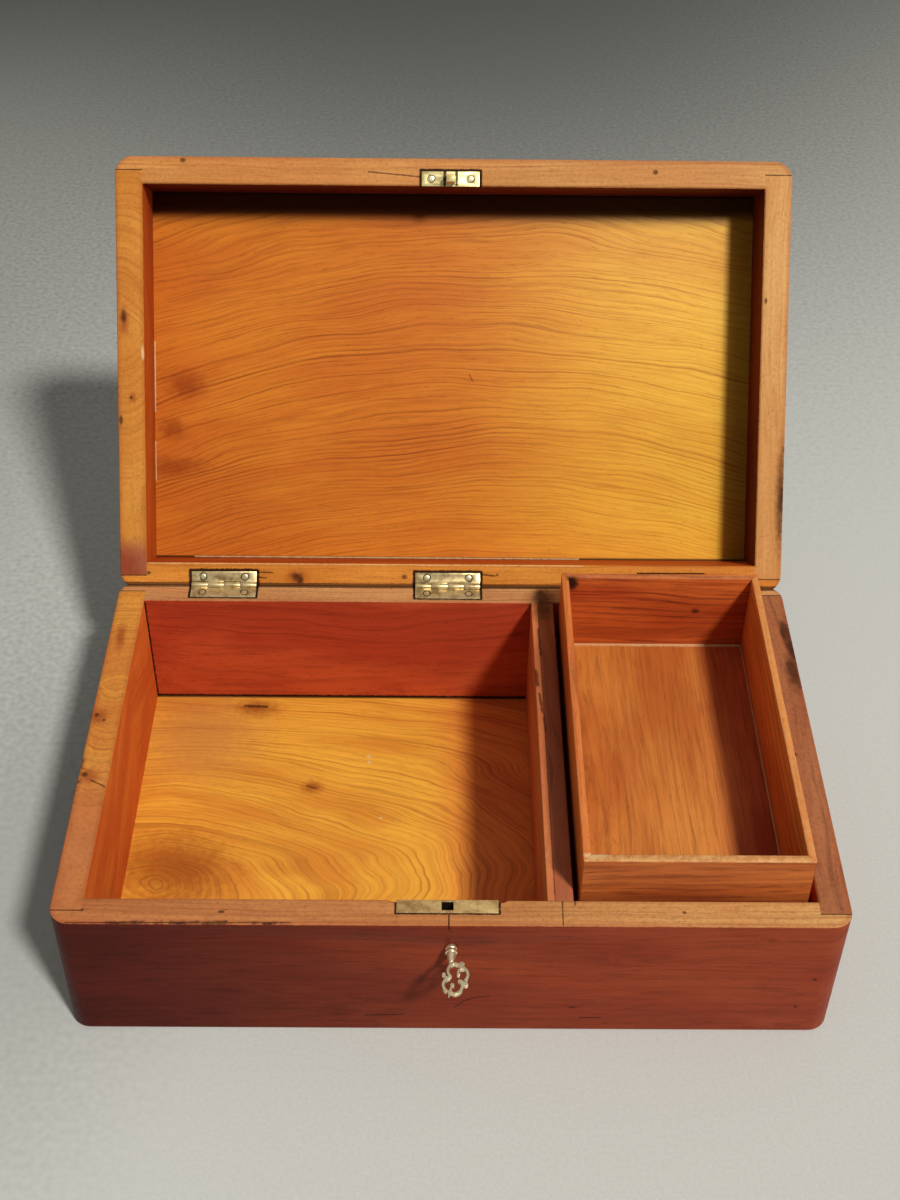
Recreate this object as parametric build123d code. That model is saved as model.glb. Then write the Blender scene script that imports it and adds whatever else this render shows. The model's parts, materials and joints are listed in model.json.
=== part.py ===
from build123d import *

import math
import os

# A wooden letter box: base with a divided well, hinged lid, lift-out tray, box lock and key.
# Millimetres. X runs to the right, Y to the back and Z up, from the middle of the underside.

# Driving sizes of the case
WIDTH = 300.0
DEPTH = 192.0
BASE_HEIGHT = 67.2
LID_HEIGHT = 36.0
WALL = 12.0
CORNER_RADIUS = 8.0
LAP = 6.0
FLOOR_THICKNESS = 6.6
LID_HOLLOW = 27.5
PANEL_REBATE = 5.0
EDGE_BREAK = 0.6
FOOT_ROUND = 2.0
LID_TOP_ROUND = 3.0

# Where the lid turns
RIM_GAP = 0.4
PIN_INSET = 1.8
OPEN_ANGLE = 125.4
STOP_GAP = 0.15

# Hinges
HINGE_LENGTH = 29.4
HINGE_SPREAD = 0.338
HARDWARE_SHIFT = -1.5
LEAF_THICKNESS = 0.9
BASE_LEAF_REACH = 7.8
LID_LEAF_REACH = 6.2
BARREL_RADIUS = 1.5
PIN_RADIUS = 0.6
RUNNING_CLEARANCE = 0.05
KNUCKLES = 4
KNUCKLE_GAP = 0.15
MORTISE_CLEARANCE = 0.4
NAIL_INSET = 5.2
NAIL_SHANK_RADIUS = 0.6
NAIL_HEAD_RADIUS = 1.3
NAIL_LENGTH = 7.0
NAIL_CROWN = 0.12

# Divider, bearers and tray
DIVIDER_RATIO = 0.12
DIVIDER_THICKNESS = 2.9
BATTEN_THICKNESS = 7.0
BATTEN_DROP = 0.3
BEARER_WIDTH = 7.0
BEARER_HEIGHT = 6.0
TRAY_LEFT_GAP = 2.5
TRAY_RIGHT_GAP = 3.2
TRAY_FRONT_GAP = 1.8
TRAY_BACK_GAP = 4.0
TRAY_UNDERSIDE = 46.0
TRAY_TOP = 88.2
TRAY_WALL = 3.0
TRAY_FLOOR = 3.0

# Box lock
FACE_LENGTH = 38.4
FACE_WIDTH = 6.4
FACE_THICKNESS = 1.2
FACE_DROP = 0.3
DISH_RADIUS = 7.0
DISH_DEPTH = 1.4
BACK_PLATE_THICKNESS = 0.8
LOCK_HEIGHT = 23.0
FACE_END = 3.2
CASE_SHEET = 0.8
CASE_HEIGHT = 19.0
HOOK_HOLE_LENGTH = 4.5
HOOK_HOLE_WIDTH = 4.0
KEY_DROP = 13.2
KEY_SHIFT = 1.5
LOCK_SCREW_RADIUS = 0.9
LOCK_SCREW_HEAD_RADIUS = 1.4
LOCK_SCREW_LENGTH = 4.6
LOW_SCREW_HEIGHT = 2.0
HIGH_SCREW_DROP = 4.0

# Bolt and link
BOLT_THROW = 6.0
BOLT_SIDE_CLEARANCE = 0.2
BOLT_ARM_HEIGHT = 3.8
BOLT_ARM_LENGTH = 20.0
NOSE_HEIGHT = 2.0
NOSE_LENGTH = 5.0
NOSE_THICKNESS = 1.6
NOSE_REST_GAP = 1.25
TALON_WIDTH = 6.4
TALON_DEPTH = 2.3
LINK_LENGTH = 25.6
HOOK_LENGTH = 3.8
HOOK_WIDTH = 3.4
HOOK_DROP = 6.8
EYE_WIDTH = 2.2
EYE_HEIGHT = 2.8
EYE_FLOOR = 0.8
LINK_SCREW_INSET = 4.1

# Key
BARREL_OUTER = 1.9
DRILL_PIN_RADIUS = 0.8
KEYHOLE_RADIUS = 2.2
KEYHOLE_SLOT_WIDTH = 1.9
KEYHOLE_SLOT_DROP = 5.1
BIT_REACH = 4.6
BIT_THICKNESS = 1.3
BIT_LENGTH = 3.4
COLLAR_RADIUS = 2.3
COLLAR_RING = 1.0
COLLAR_GROOVE = 0.35
NECK_RADIUS = 1.7
SHOULDER_RADIUS = 1.95
SHOULDER_PLACE = 3.6
STEM_END_RADIUS = 1.1
STEM_LENGTH = 7.2
KEY_STAND = 0.3
BOW_THICKNESS = 1.8
SCROLL_WIDTH = 1.15
CURL_WIDTH = 0.85

# Levels and lines that follow from the driving sizes
FRONT = -DEPTH / 2
BACK = DEPTH / 2
INNER_FRONT = FRONT + WALL
INNER_BACK = BACK - WALL
INNER_RIGHT = WIDTH / 2 - WALL
PIN_Y = BACK - PIN_INSET
PIN_Z = BASE_HEIGHT + RIM_GAP / 2
LID_RIM = BASE_HEIGHT + RIM_GAP
LID_TOP = LID_RIM + LID_HEIGHT
LID_PANEL_UNDERSIDE = LID_RIM + LID_HOLLOW
DIVIDER_LEFT = WIDTH * DIVIDER_RATIO
BATTEN_LEFT = DIVIDER_LEFT + DIVIDER_THICKNESS
BATTEN_RIGHT = BATTEN_LEFT + BATTEN_THICKNESS
TRAY_FRONT = INNER_FRONT + TRAY_FRONT_GAP
TRAY_BACK = INNER_BACK - TRAY_BACK_GAP
TRAY_LEFT = BATTEN_RIGHT + TRAY_LEFT_GAP
TRAY_RIGHT = INNER_RIGHT - TRAY_RIGHT_GAP
LOCK_X = HARDWARE_SHIFT
KEY_X = LOCK_X + KEY_SHIFT
KEY_Z = BASE_HEIGHT - KEY_DROP
CASE_LENGTH = FACE_LENGTH - 2 * FACE_END
PLATE_BACK = INNER_FRONT
PLATE_FRONT = PLATE_BACK - BACK_PLATE_THICKNESS
FACE_FRONT = PLATE_BACK - FACE_WIDTH
FACE_TOP = BASE_HEIGHT - FACE_DROP
CASE_TOP = FACE_TOP - FACE_THICKNESS
CASE_BOTTOM = CASE_TOP - CASE_HEIGHT
CASE_INNER_FRONT = FACE_FRONT + CASE_SHEET
HOOK_Y = PLATE_FRONT - HOOK_HOLE_WIDTH / 2
HOOK_TIP = LID_RIM - HOOK_DROP
BOLT_ARM_TOP = HOOK_TIP - RIM_GAP
BOLT_ARM_BOTTOM = BOLT_ARM_TOP - BOLT_ARM_HEIGHT
NOSE_BOTTOM = HOOK_TIP + EYE_FLOOR + (EYE_HEIGHT - NOSE_HEIGHT) / 2
HINGE_CENTRES = [HARDWARE_SHIFT + WIDTH * HINGE_SPREAD * step for step in (-1, 0, 1)]


def block(x0, x1, y0, y1, z0, z1):
    """A box given by its two limits along each axis."""
    return Pos((x0 + x1) / 2, (y0 + y1) / 2, (z0 + z1) / 2) * Box(x1 - x0, y1 - y0, z1 - z0)


def rod(x, y, z, radius, length, along):
    """A round bar that starts at a point and runs along X, Y or Z."""
    turns = {"x": Rot(0, 90, 0), "y": Rot(-90, 0, 0), "z": Rot(0, 0, 0)}
    bar = Cylinder(radius, length, align=(Align.CENTER, Align.CENTER, Align.MIN))
    return Pos(x, y, z) * turns[along] * bar


def one_solid(shape):
    """The single solid of a result."""
    solids = shape.solids()
    assert len(solids) == 1, len(solids)
    return solids[0]


# The case: a frame of four boards round a hollow, for the base and for the lid

def outer_block(z0, z1, foot_round, top_round):
    """The rounded outside of the case between two levels."""
    body = extrude(RectangleRounded(WIDTH, DEPTH, CORNER_RADIUS), z1 - z0)
    low = body.faces().sort_by(Axis.Z)[0].edges()
    body = fillet(low, foot_round)
    high = body.faces().sort_by(Axis.Z)[-1].edges()
    return Pos(0, 0, z0) * fillet(high, top_round)


def hollow(z0, z1):
    """The space between the four boards."""
    return block(-INNER_RIGHT, INNER_RIGHT, INNER_FRONT, INNER_BACK, z0, z1)


def rim_break(level, away):
    """A wedge ring that breaks the inner arris of a rim. Away is 1 above the wood and -1 below it."""
    mouth = Rectangle(2 * (INNER_RIGHT + EDGE_BREAK), DEPTH - 2 * (WALL - EDGE_BREAK))
    return Pos(0, 0, level) * extrude(mouth, -away * EDGE_BREAK, taper=45)


def panel_seat(z0, z1):
    """The rebate that holds a panel, and the panel itself."""
    side = INNER_RIGHT + PANEL_REBATE
    end = INNER_BACK + PANEL_REBATE
    return block(-side, side, -end, end, z0, z1)


def end_board_region(front, z0, z1):
    """The front or back board with the laps that cover the ends of the side boards."""
    sign = -1 if front else 1
    outer = sorted((sign * DEPTH / 2 * 1.01, sign * (DEPTH / 2 - LAP)))
    inner = sorted((sign * (DEPTH / 2 - LAP), sign * (DEPTH / 2 - WALL)))
    lap = block(-WIDTH, WIDTH, outer[0], outer[1], z0, z1)
    return lap + block(-INNER_RIGHT, INNER_RIGHT, inner[0], inner[1], z0, z1)


def side_board_region(left, z0, z1):
    """A side board that ends at the laps of the front and back boards."""
    sign = -1 if left else 1
    near, far = sorted((sign * WIDTH, sign * INNER_RIGHT))
    return block(near, far, FRONT + LAP, BACK - LAP, z0, z1)


def back_bevel(lid):
    """The wedge cut from the back arris, steep enough for base and lid to meet when the lid is open."""
    half = math.radians(OPEN_ANGLE / 2)
    sign = 1 if lid else -1
    reach = 4 * PIN_INSET
    start = (PIN_Y - STOP_GAP * math.sin(half), PIN_Z + sign * STOP_GAP * math.cos(half))
    far = (start[0] + reach * math.cos(half), start[1] + sign * reach * math.sin(half))
    high = PIN_Z - sign * RIM_GAP
    corner = (BACK + WALL, high)
    side = (BACK + WALL, far[1])
    outline = Polyline(start, far, side, corner, (start[0], high), close=True)
    return extrude(Plane.YZ * make_face(outline), WIDTH, both=True)


def hinge_room(x, lid):
    """The mortise for one leaf and the groove for the barrel."""
    half = HINGE_LENGTH / 2 + MORTISE_CLEARANCE
    reach = (LID_LEAF_REACH if lid else BASE_LEAF_REACH) + MORTISE_CLEARANCE
    z0 = LID_RIM - RIM_GAP if lid else BASE_HEIGHT - LEAF_THICKNESS
    z1 = LID_RIM + LEAF_THICKNESS if lid else BASE_HEIGHT + RIM_GAP
    leaf_room = block(x - half, x + half, PIN_Y - reach, BACK + 1, z0, z1)
    barrel_room = rod(x - half, PIN_Y, PIN_Z, BARREL_RADIUS + MORTISE_CLEARANCE, 2 * half, "x")
    return leaf_room + barrel_room


def base_frame():
    frame = outer_block(0, BASE_HEIGHT, FOOT_ROUND, EDGE_BREAK) - hollow(-1, BASE_HEIGHT + 1)
    frame -= rim_break(BASE_HEIGHT, 1)
    return frame - panel_seat(-1, FLOOR_THICKNESS)


def lid_frame():
    frame = outer_block(LID_RIM, LID_TOP, EDGE_BREAK, LID_TOP_ROUND) - hollow(LID_RIM - 1, LID_TOP + 1)
    frame -= rim_break(LID_RIM, -1)
    return frame - panel_seat(LID_PANEL_UNDERSIDE, LID_TOP + 1)


def base_panel():
    """The bottom, held in the rebate and flush with the underside."""
    return panel_seat(0, FLOOR_THICKNESS)


def lid_panel():
    """The top, held in the rebate and flush with the frame."""
    return panel_seat(LID_PANEL_UNDERSIDE, LID_TOP)


def open_lid(shape):
    """Turn a piece of the closed lid back to where the lid stands open."""
    return shape.rotate(Axis((0, PIN_Y, PIN_Z), (1, 0, 0)), -OPEN_ANGLE)


# Hinges

def nail(x, y, level, down):
    """A countersunk nail whose low crown shows above a leaf. Down is 1 for a nail driven downwards."""
    shank = Cylinder(NAIL_SHANK_RADIUS, NAIL_LENGTH, align=(Align.CENTER, Align.CENTER, Align.MAX))
    sink = NAIL_HEAD_RADIUS - NAIL_SHANK_RADIUS
    head = Pos(0, 0, -sink / 2) * Cone(NAIL_SHANK_RADIUS, NAIL_HEAD_RADIUS, sink)
    standing = (Align.CENTER, Align.CENTER, Align.MIN)
    crown = Cone(NAIL_HEAD_RADIUS, NAIL_HEAD_RADIUS / 2, NAIL_CROWN, align=standing)
    whole = shank + head + crown
    turn = Rot(0, 0, 0) if down > 0 else Rot(180, 0, 0)
    return Pos(x, y, level) * turn * whole


def leaf_nails(x, lid):
    reach = LID_LEAF_REACH if lid else BASE_LEAF_REACH
    level = LID_RIM if lid else BASE_HEIGHT
    y = PIN_Y - (reach + BARREL_RADIUS) / 2
    across = HINGE_LENGTH / 2 - NAIL_INSET
    return [nail(x + side * across, y, level, -1 if lid else 1) for side in (-1, 1)]


def knuckle_span(x, number):
    """The two ends of one knuckle, counted from the left."""
    pitch = HINGE_LENGTH / KNUCKLES
    start = x - HINGE_LENGTH / 2 + pitch * number
    return start + KNUCKLE_GAP / 2, start + pitch - KNUCKLE_GAP / 2


def hinge_leaf(x, lid):
    """A leaf with two of the four knuckles, drilled for the pin and the nails."""
    half = HINGE_LENGTH / 2
    reach = LID_LEAF_REACH if lid else BASE_LEAF_REACH
    z0 = LID_RIM if lid else BASE_HEIGHT - LEAF_THICKNESS
    leaf = block(x - half, x + half, PIN_Y - reach, PIN_Y, z0, z0 + LEAF_THICKNESS)
    for number in range(KNUCKLES):
        start, end = knuckle_span(x, number)
        mine = (number % 2 == 1) == lid
        if mine:
            leaf += rod(start, PIN_Y, PIN_Z, BARREL_RADIUS, end - start, "x")
        else:
            room = BARREL_RADIUS + MORTISE_CLEARANCE / 2
            leaf -= rod(start - KNUCKLE_GAP, PIN_Y, PIN_Z, room, end - start + 2 * KNUCKLE_GAP, "x")
    leaf -= rod(x - half - 1, PIN_Y, PIN_Z, PIN_RADIUS + RUNNING_CLEARANCE, HINGE_LENGTH + 2, "x")
    for one in leaf_nails(x, lid):
        leaf -= one
    return leaf


def hinge_pin(x):
    return rod(x - HINGE_LENGTH / 2, PIN_Y, PIN_Z, PIN_RADIUS, HINGE_LENGTH, "x")


# Base

def keyhole(y0, y1):
    """A round hole with a slot below it for the bit."""
    hole = rod(KEY_X, y0, KEY_Z, KEYHOLE_RADIUS, y1 - y0, "y")
    half = KEYHOLE_SLOT_WIDTH / 2
    return hole + block(KEY_X - half, KEY_X + half, y0, y1, KEY_Z - KEYHOLE_SLOT_DROP, KEY_Z)


def lock_room():
    """The mortise that the lock is let into."""
    half = CASE_LENGTH / 2
    deep = block(LOCK_X - half, LOCK_X + half, FACE_FRONT, PLATE_BACK + 1, CASE_BOTTOM, BASE_HEIGHT + 1)
    end = FACE_LENGTH / 2
    above = block(LOCK_X - end, LOCK_X + end, FACE_FRONT, PLATE_BACK + 1, CASE_TOP, BASE_HEIGHT + 1)
    return deep + above + lock_plates()


def chisel_dish(side):
    """The shallow dish that the chisel left in the inner arris at one end of the face plate."""
    away = (DISH_RADIUS - DISH_DEPTH) * math.sqrt(0.5)
    centre = (LOCK_X + side * FACE_LENGTH / 2, INNER_FRONT + away, BASE_HEIGHT + away)
    return Pos(*centre) * Sphere(DISH_RADIUS)


def base_front_board():
    board = base_frame() & end_board_region(True, -1, BASE_HEIGHT + 1)
    board -= lock_room()
    board -= keyhole(FRONT - 1, FACE_FRONT + 1)
    for one in lock_screws():
        board -= one
    for side in (-1, 1):
        board -= chisel_dish(side)
    return board


def base_back_board():
    board = base_frame() & end_board_region(False, -1, BASE_HEIGHT + 1)
    board -= back_bevel(False)
    for x in HINGE_CENTRES:
        board -= hinge_room(x, False)
        for one in leaf_nails(x, False):
            board -= one
    return board


def base_side_board(left):
    return base_frame() & side_board_region(left, -1, BASE_HEIGHT + 1)


def divider_board():
    """The thin upright board between the two wells."""
    return block(DIVIDER_LEFT, BATTEN_LEFT, INNER_FRONT, INNER_BACK, FLOOR_THICKNESS, BASE_HEIGHT)


def divider_batten():
    """The thicker packing beside it, which narrows the well to the tray."""
    top = BASE_HEIGHT - BATTEN_DROP
    return block(BATTEN_LEFT, BATTEN_RIGHT, INNER_FRONT, INNER_BACK, FLOOR_THICKNESS, top)


def tray_bearer(left):
    """A strip on the side of the well that the tray rests on."""
    x0 = BATTEN_RIGHT if left else INNER_RIGHT - BEARER_WIDTH
    z0 = TRAY_UNDERSIDE - BEARER_HEIGHT
    return block(x0, x0 + BEARER_WIDTH, INNER_FRONT, INNER_BACK, z0, TRAY_UNDERSIDE)


# Lock

def lock_plates():
    """The face plate in the rim and the back plate on the inner face, as one bent sheet without holes."""
    half = FACE_LENGTH / 2
    face = block(LOCK_X - half, LOCK_X + half, FACE_FRONT, PLATE_BACK, CASE_TOP, FACE_TOP)
    back = block(LOCK_X - half, LOCK_X + half, PLATE_FRONT, PLATE_BACK, FACE_TOP - LOCK_HEIGHT, FACE_TOP)
    return face + back


def lock_screws():
    """Four countersunk screws through the ends of the back plate."""
    across = (FACE_LENGTH - FACE_END) / 2
    screws = []
    for side in (-1, 1):
        for level in (CASE_BOTTOM + LOW_SCREW_HEIGHT, CASE_TOP - HIGH_SCREW_DROP):
            shank = rod(LOCK_X + side * across, PLATE_BACK - LOCK_SCREW_LENGTH, level,
                        LOCK_SCREW_RADIUS, LOCK_SCREW_LENGTH, "y")
            sink = LOCK_SCREW_HEAD_RADIUS - LOCK_SCREW_RADIUS
            head = Cone(LOCK_SCREW_RADIUS, LOCK_SCREW_HEAD_RADIUS, sink)
            head = Pos(LOCK_X + side * across, PLATE_BACK - sink / 2, level) * Rot(-90, 0, 0) * head
            screws.append(shank + head)
    return screws


def lock_face_plate():
    plate = lock_plates()
    half = HOOK_HOLE_LENGTH / 2
    front = HOOK_Y - HOOK_HOLE_WIDTH / 2
    plate -= block(LOCK_X - half, LOCK_X + half, front, PLATE_FRONT, CASE_TOP - 1, BASE_HEIGHT + 1)
    plate -= drill_pin()
    for one in lock_screws():
        plate -= one
    return plate


def lock_case():
    """A shallow sheet box fixed to the back plate, open to it and to the hook hole."""
    half = CASE_LENGTH / 2
    shell = block(LOCK_X - half, LOCK_X + half, FACE_FRONT, PLATE_FRONT, CASE_BOTTOM, CASE_TOP)
    inside = half - CASE_SHEET
    shell -= block(LOCK_X - inside, LOCK_X + inside, CASE_INNER_FRONT, PLATE_FRONT + 1,
                   CASE_BOTTOM + CASE_SHEET, CASE_TOP + 1)
    return shell - keyhole(FACE_FRONT - 1, CASE_INNER_FRONT + 1)


def drill_pin():
    """The pin on the back plate that the hollow key turns on."""
    return rod(KEY_X, FACE_FRONT, KEY_Z, DRILL_PIN_RADIUS, PLATE_BACK - FACE_FRONT, "y")


def lock_bolt():
    """A sliding bolt: an arm with the talon for the key's bit, and a thin nose above it for the link."""
    y0 = CASE_INNER_FRONT + BOLT_SIDE_CLEARANCE
    y1 = PLATE_FRONT - BOLT_SIDE_CLEARANCE
    nose_end = LOCK_X - HOOK_LENGTH / 2 - NOSE_REST_GAP
    left = nose_end - 2 * NOSE_LENGTH
    bolt = block(left, left + BOLT_ARM_LENGTH, y0, y1, BOLT_ARM_BOTTOM, BOLT_ARM_TOP)
    thin = NOSE_THICKNESS / 2
    top = NOSE_BOTTOM + NOSE_HEIGHT
    bolt += block(left, nose_end - NOSE_LENGTH, HOOK_Y - thin, HOOK_Y + thin, BOLT_ARM_TOP, top)
    bolt += block(left, nose_end, HOOK_Y - thin, HOOK_Y + thin, NOSE_BOTTOM, top)
    talon = KEY_X - BOLT_THROW / 2
    half = TALON_WIDTH / 2
    return bolt - block(talon - half, talon + half, y0, y1, BOLT_ARM_BOTTOM, BOLT_ARM_BOTTOM + TALON_DEPTH)


# Lid

def link_room():
    half = LINK_LENGTH / 2
    return block(LOCK_X - half, LOCK_X + half, FACE_FRONT, PLATE_BACK, LID_RIM, LID_RIM + FACE_THICKNESS)


def link_screws():
    across = LINK_LENGTH / 2 - LINK_SCREW_INSET
    y = (FACE_FRONT + PLATE_BACK) / 2
    return [nail(LOCK_X + side * across, y, LID_RIM, -1) for side in (-1, 1)]


def link_plate():
    """The plate in the lid rim with the eye that drops into the lock."""
    plate = link_room()
    half = HOOK_LENGTH / 2
    thin = HOOK_WIDTH / 2
    hook = block(LOCK_X - half, LOCK_X + half, HOOK_Y - thin, HOOK_Y + thin, HOOK_TIP, LID_RIM)
    eye_bottom = HOOK_TIP + EYE_FLOOR
    eye = EYE_WIDTH / 2
    hook -= block(LOCK_X - half, LOCK_X + half, HOOK_Y - eye, HOOK_Y + eye,
                  eye_bottom, eye_bottom + EYE_HEIGHT)
    plate += hook
    for one in link_screws():
        plate -= one
    return plate


def lid_front_board():
    board = lid_frame() & end_board_region(True, LID_RIM - 1, LID_TOP + 1)
    board -= link_room()
    for one in link_screws():
        board -= one
    return board


def lid_back_board():
    board = lid_frame() & end_board_region(False, LID_RIM - 1, LID_TOP + 1)
    board -= back_bevel(True)
    for x in HINGE_CENTRES:
        board -= hinge_room(x, True)
        for one in leaf_nails(x, True):
            board -= one
    return board


def lid_side_board(left):
    return lid_frame() & side_board_region(left, LID_RIM - 1, LID_TOP + 1)


# Tray

def tray_board(side):
    """One of the four mitred boards: front, back, left or right."""
    x0, x1, y0, y1 = TRAY_LEFT, TRAY_RIGHT, TRAY_FRONT, TRAY_BACK
    t = TRAY_WALL
    outlines = {
        "front": [(x0, y0), (x1, y0), (x1 - t, y0 + t), (x0 + t, y0 + t)],
        "back": [(x0, y1), (x1, y1), (x1 - t, y1 - t), (x0 + t, y1 - t)],
        "left": [(x0, y0), (x0, y1), (x0 + t, y1 - t), (x0 + t, y0 + t)],
        "right": [(x1, y0), (x1, y1), (x1 - t, y1 - t), (x1 - t, y0 + t)],
    }
    outline = make_face(Polyline(*outlines[side], close=True))
    return Pos(0, 0, TRAY_UNDERSIDE) * extrude(outline, TRAY_TOP - TRAY_UNDERSIDE, dir=(0, 0, 1))


def tray_bottom():
    """The tray's floor, set between the four boards."""
    return block(TRAY_LEFT + TRAY_WALL, TRAY_RIGHT - TRAY_WALL, TRAY_FRONT + TRAY_WALL,
                 TRAY_BACK - TRAY_WALL, TRAY_UNDERSIDE, TRAY_UNDERSIDE + TRAY_FLOOR)


# Key

def bow_point(point):
    """A point of the bow, from the key's axis and the front of the case, given in widths of its band."""
    return point[0] * SCROLL_WIDTH, point[1] * SCROLL_WIDTH


def scroll(start, middle, end, width=SCROLL_WIDTH):
    """One curved band of the bow, with its ends and one point between."""
    return trace(ThreePointArc(bow_point(start), bow_point(middle), bow_point(end)), width)


def bead(x, y, radius):
    return Pos(*bow_point((x, y))) * Circle(radius * SCROLL_WIDTH)


def bow_outline():
    """The pierced bow: C scrolls with beaded ends round an open heart, and a tip below."""
    upper_left = scroll((0.6, -6.9), (-1.1, -9.7), (-0.1, -12.2))
    crown = scroll((0.2, -7.1), (1.6, -6.9), (3.0, -8.3))
    right = scroll((2.9, -8.0), (5.3, -10.8), (4.3, -13.6))
    inner_curl = scroll((4.0, -8.9), (2.7, -9.2), (2.3, -10.8), CURL_WIDTH)
    lower_right = scroll((2.3, -13.3), (3.4, -16.3), (1.0, -18.6))
    lower_arm = scroll((2.3, -13.4), (3.4, -13.8), (4.6, -14.9), CURL_WIDTH)
    lower_turn = scroll((1.6, -18.6), (0.3, -18.2), (-0.3, -16.9), CURL_WIDTH)
    lower_left = scroll((-0.4, -12.3), (-2.5, -14.5), (-1.5, -17.5))
    side_leaf = scroll((-1.0, -12.4), (-1.8, -12.1), (-2.3, -11.2), CURL_WIDTH)
    heart_stalk = scroll((-0.3, -17.2), (-0.1, -16.3), (0.3, -15.4), CURL_WIDTH)
    corners = [bow_point(point) for point in ((-1.7, -17.0), (0.3, -17.7), (-0.9, -19.5))]
    tip = make_face(Polyline(*corners, close=True))
    bow = upper_left + crown + right + inner_curl + lower_right + lower_arm + lower_turn
    bow += lower_left + side_leaf + heart_stalk + tip
    bow += bead(3.5, -7.1, 0.87) + bead(4.7, -15.0, 0.74) + bead(-2.4, -11.1, 0.65)
    return bow + bead(0.3, -15.2, 0.7) + bead(2.3, -11.0, 0.6)


def collar_and_stem():
    """Two rings with a groove between them, a shoulder and the tapered stem, turned on the key's axis."""
    ring_start = KEY_STAND
    groove_start = ring_start + COLLAR_RING
    groove = groove_start + COLLAR_GROOVE
    ring_again = groove + COLLAR_GROOVE
    ring_end = ring_again + COLLAR_RING
    profile = Polyline(
        (0, -ring_start), (COLLAR_RADIUS, -ring_start), (COLLAR_RADIUS, -groove_start),
        (COLLAR_RADIUS - COLLAR_GROOVE, -groove), (COLLAR_RADIUS, -ring_again), (COLLAR_RADIUS, -ring_end),
        (NECK_RADIUS, -ring_end - COLLAR_GROOVE), (SHOULDER_RADIUS, -SHOULDER_PLACE),
        (STEM_END_RADIUS, -STEM_LENGTH), (0, -STEM_LENGTH), close=True)
    return revolve(make_face(profile), Axis.Y)


def key():
    """A pipe key, turned a quarter from where it goes in: barrel, bit, ringed collar, stem and bow."""
    barrel_end = PLATE_FRONT - BOLT_SIDE_CLEARANCE
    shape = rod(KEY_X, FRONT, KEY_Z, BARREL_OUTER, barrel_end - FRONT, "y")
    bore = DRILL_PIN_RADIUS + RUNNING_CLEARANCE
    bit_y1 = barrel_end - BOLT_SIDE_CLEARANCE
    thin = BIT_THICKNESS / 2
    shape += block(KEY_X - BIT_REACH, KEY_X, bit_y1 - BIT_LENGTH, bit_y1, KEY_Z - thin, KEY_Z + thin)
    shape -= rod(KEY_X, FACE_FRONT - 1, KEY_Z, bore, barrel_end - FACE_FRONT + 2, "y")
    shape += Pos(KEY_X, FRONT, KEY_Z) * collar_and_stem()
    shape += rod(KEY_X, FRONT - 1, KEY_Z, BARREL_OUTER, 1, "y")
    bow = extrude(bow_outline(), BOW_THICKNESS / 2, both=True)
    shape += Pos(KEY_X, FRONT, KEY_Z) * bow
    thick = BOW_THICKNESS / 2
    stem_end = FRONT - STEM_LENGTH
    neck = block(KEY_X - thick, KEY_X + thick, stem_end - SCROLL_WIDTH, stem_end + KEY_STAND,
                 KEY_Z - thick, KEY_Z + thick)
    return shape + neck


# Every node, named

def hinge_names():
    return zip(("left", "centre", "right"), HINGE_CENTRES)


def base_nodes():
    nodes = {
        "base_front_board": base_front_board(),
        "base_back_board": base_back_board(),
        "base_left_board": base_side_board(True),
        "base_right_board": base_side_board(False),
        "base_bottom_panel": base_panel(),
        "divider_board": divider_board(),
        "divider_batten": divider_batten(),
        "tray_bearer_left": tray_bearer(True),
        "tray_bearer_right": tray_bearer(False),
        "lock_face_plate": lock_face_plate(),
        "lock_case": lock_case(),
        "lock_bolt": lock_bolt(),
        "lock_drill_pin": drill_pin(),
        "lock_screws": lock_screws(),
        "base_hinge_nails": [one for x in HINGE_CENTRES for one in leaf_nails(x, False)],
    }
    for name, x in hinge_names():
        nodes["base_hinge_leaf_" + name] = hinge_leaf(x, False)
        nodes["hinge_pin_" + name] = hinge_pin(x)
    return nodes


def lid_nodes():
    nodes = {
        "lid_front_board": lid_front_board(),
        "lid_back_board": lid_back_board(),
        "lid_left_board": lid_side_board(True),
        "lid_right_board": lid_side_board(False),
        "lid_top_panel": lid_panel(),
        "link_plate": link_plate(),
        "link_plate_screws": link_screws(),
        "lid_hinge_nails": [one for x in HINGE_CENTRES for one in leaf_nails(x, True)],
    }
    for name, x in hinge_names():
        nodes["lid_hinge_leaf_" + name] = hinge_leaf(x, True)
    return nodes


def tray_nodes():
    nodes = {"tray_" + side + "_board": tray_board(side) for side in ("front", "back", "left", "right")}
    nodes["tray_bottom_panel"] = tray_bottom()
    return nodes


def save(name, shape, move=None):
    """Write one node: a single solid, or a group of identical ones."""
    pieces = shape if isinstance(shape, list) else [shape]
    solids = [one_solid(move(piece) if move else piece) for piece in pieces]
    whole = solids[0] if len(solids) == 1 else Compound(children=solids)
    whole.label = name
    export_step(whole, "parts/" + name + ".step")


os.makedirs("parts", exist_ok=True)
for name, shape in base_nodes().items():
    save(name, shape)
for name, shape in lid_nodes().items():
    save(name, shape, open_lid)
for name, shape in tray_nodes().items():
    save(name, shape)
save("key", key())
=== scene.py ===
import json
import math

import bpy
from mathutils import Matrix, Vector

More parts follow.
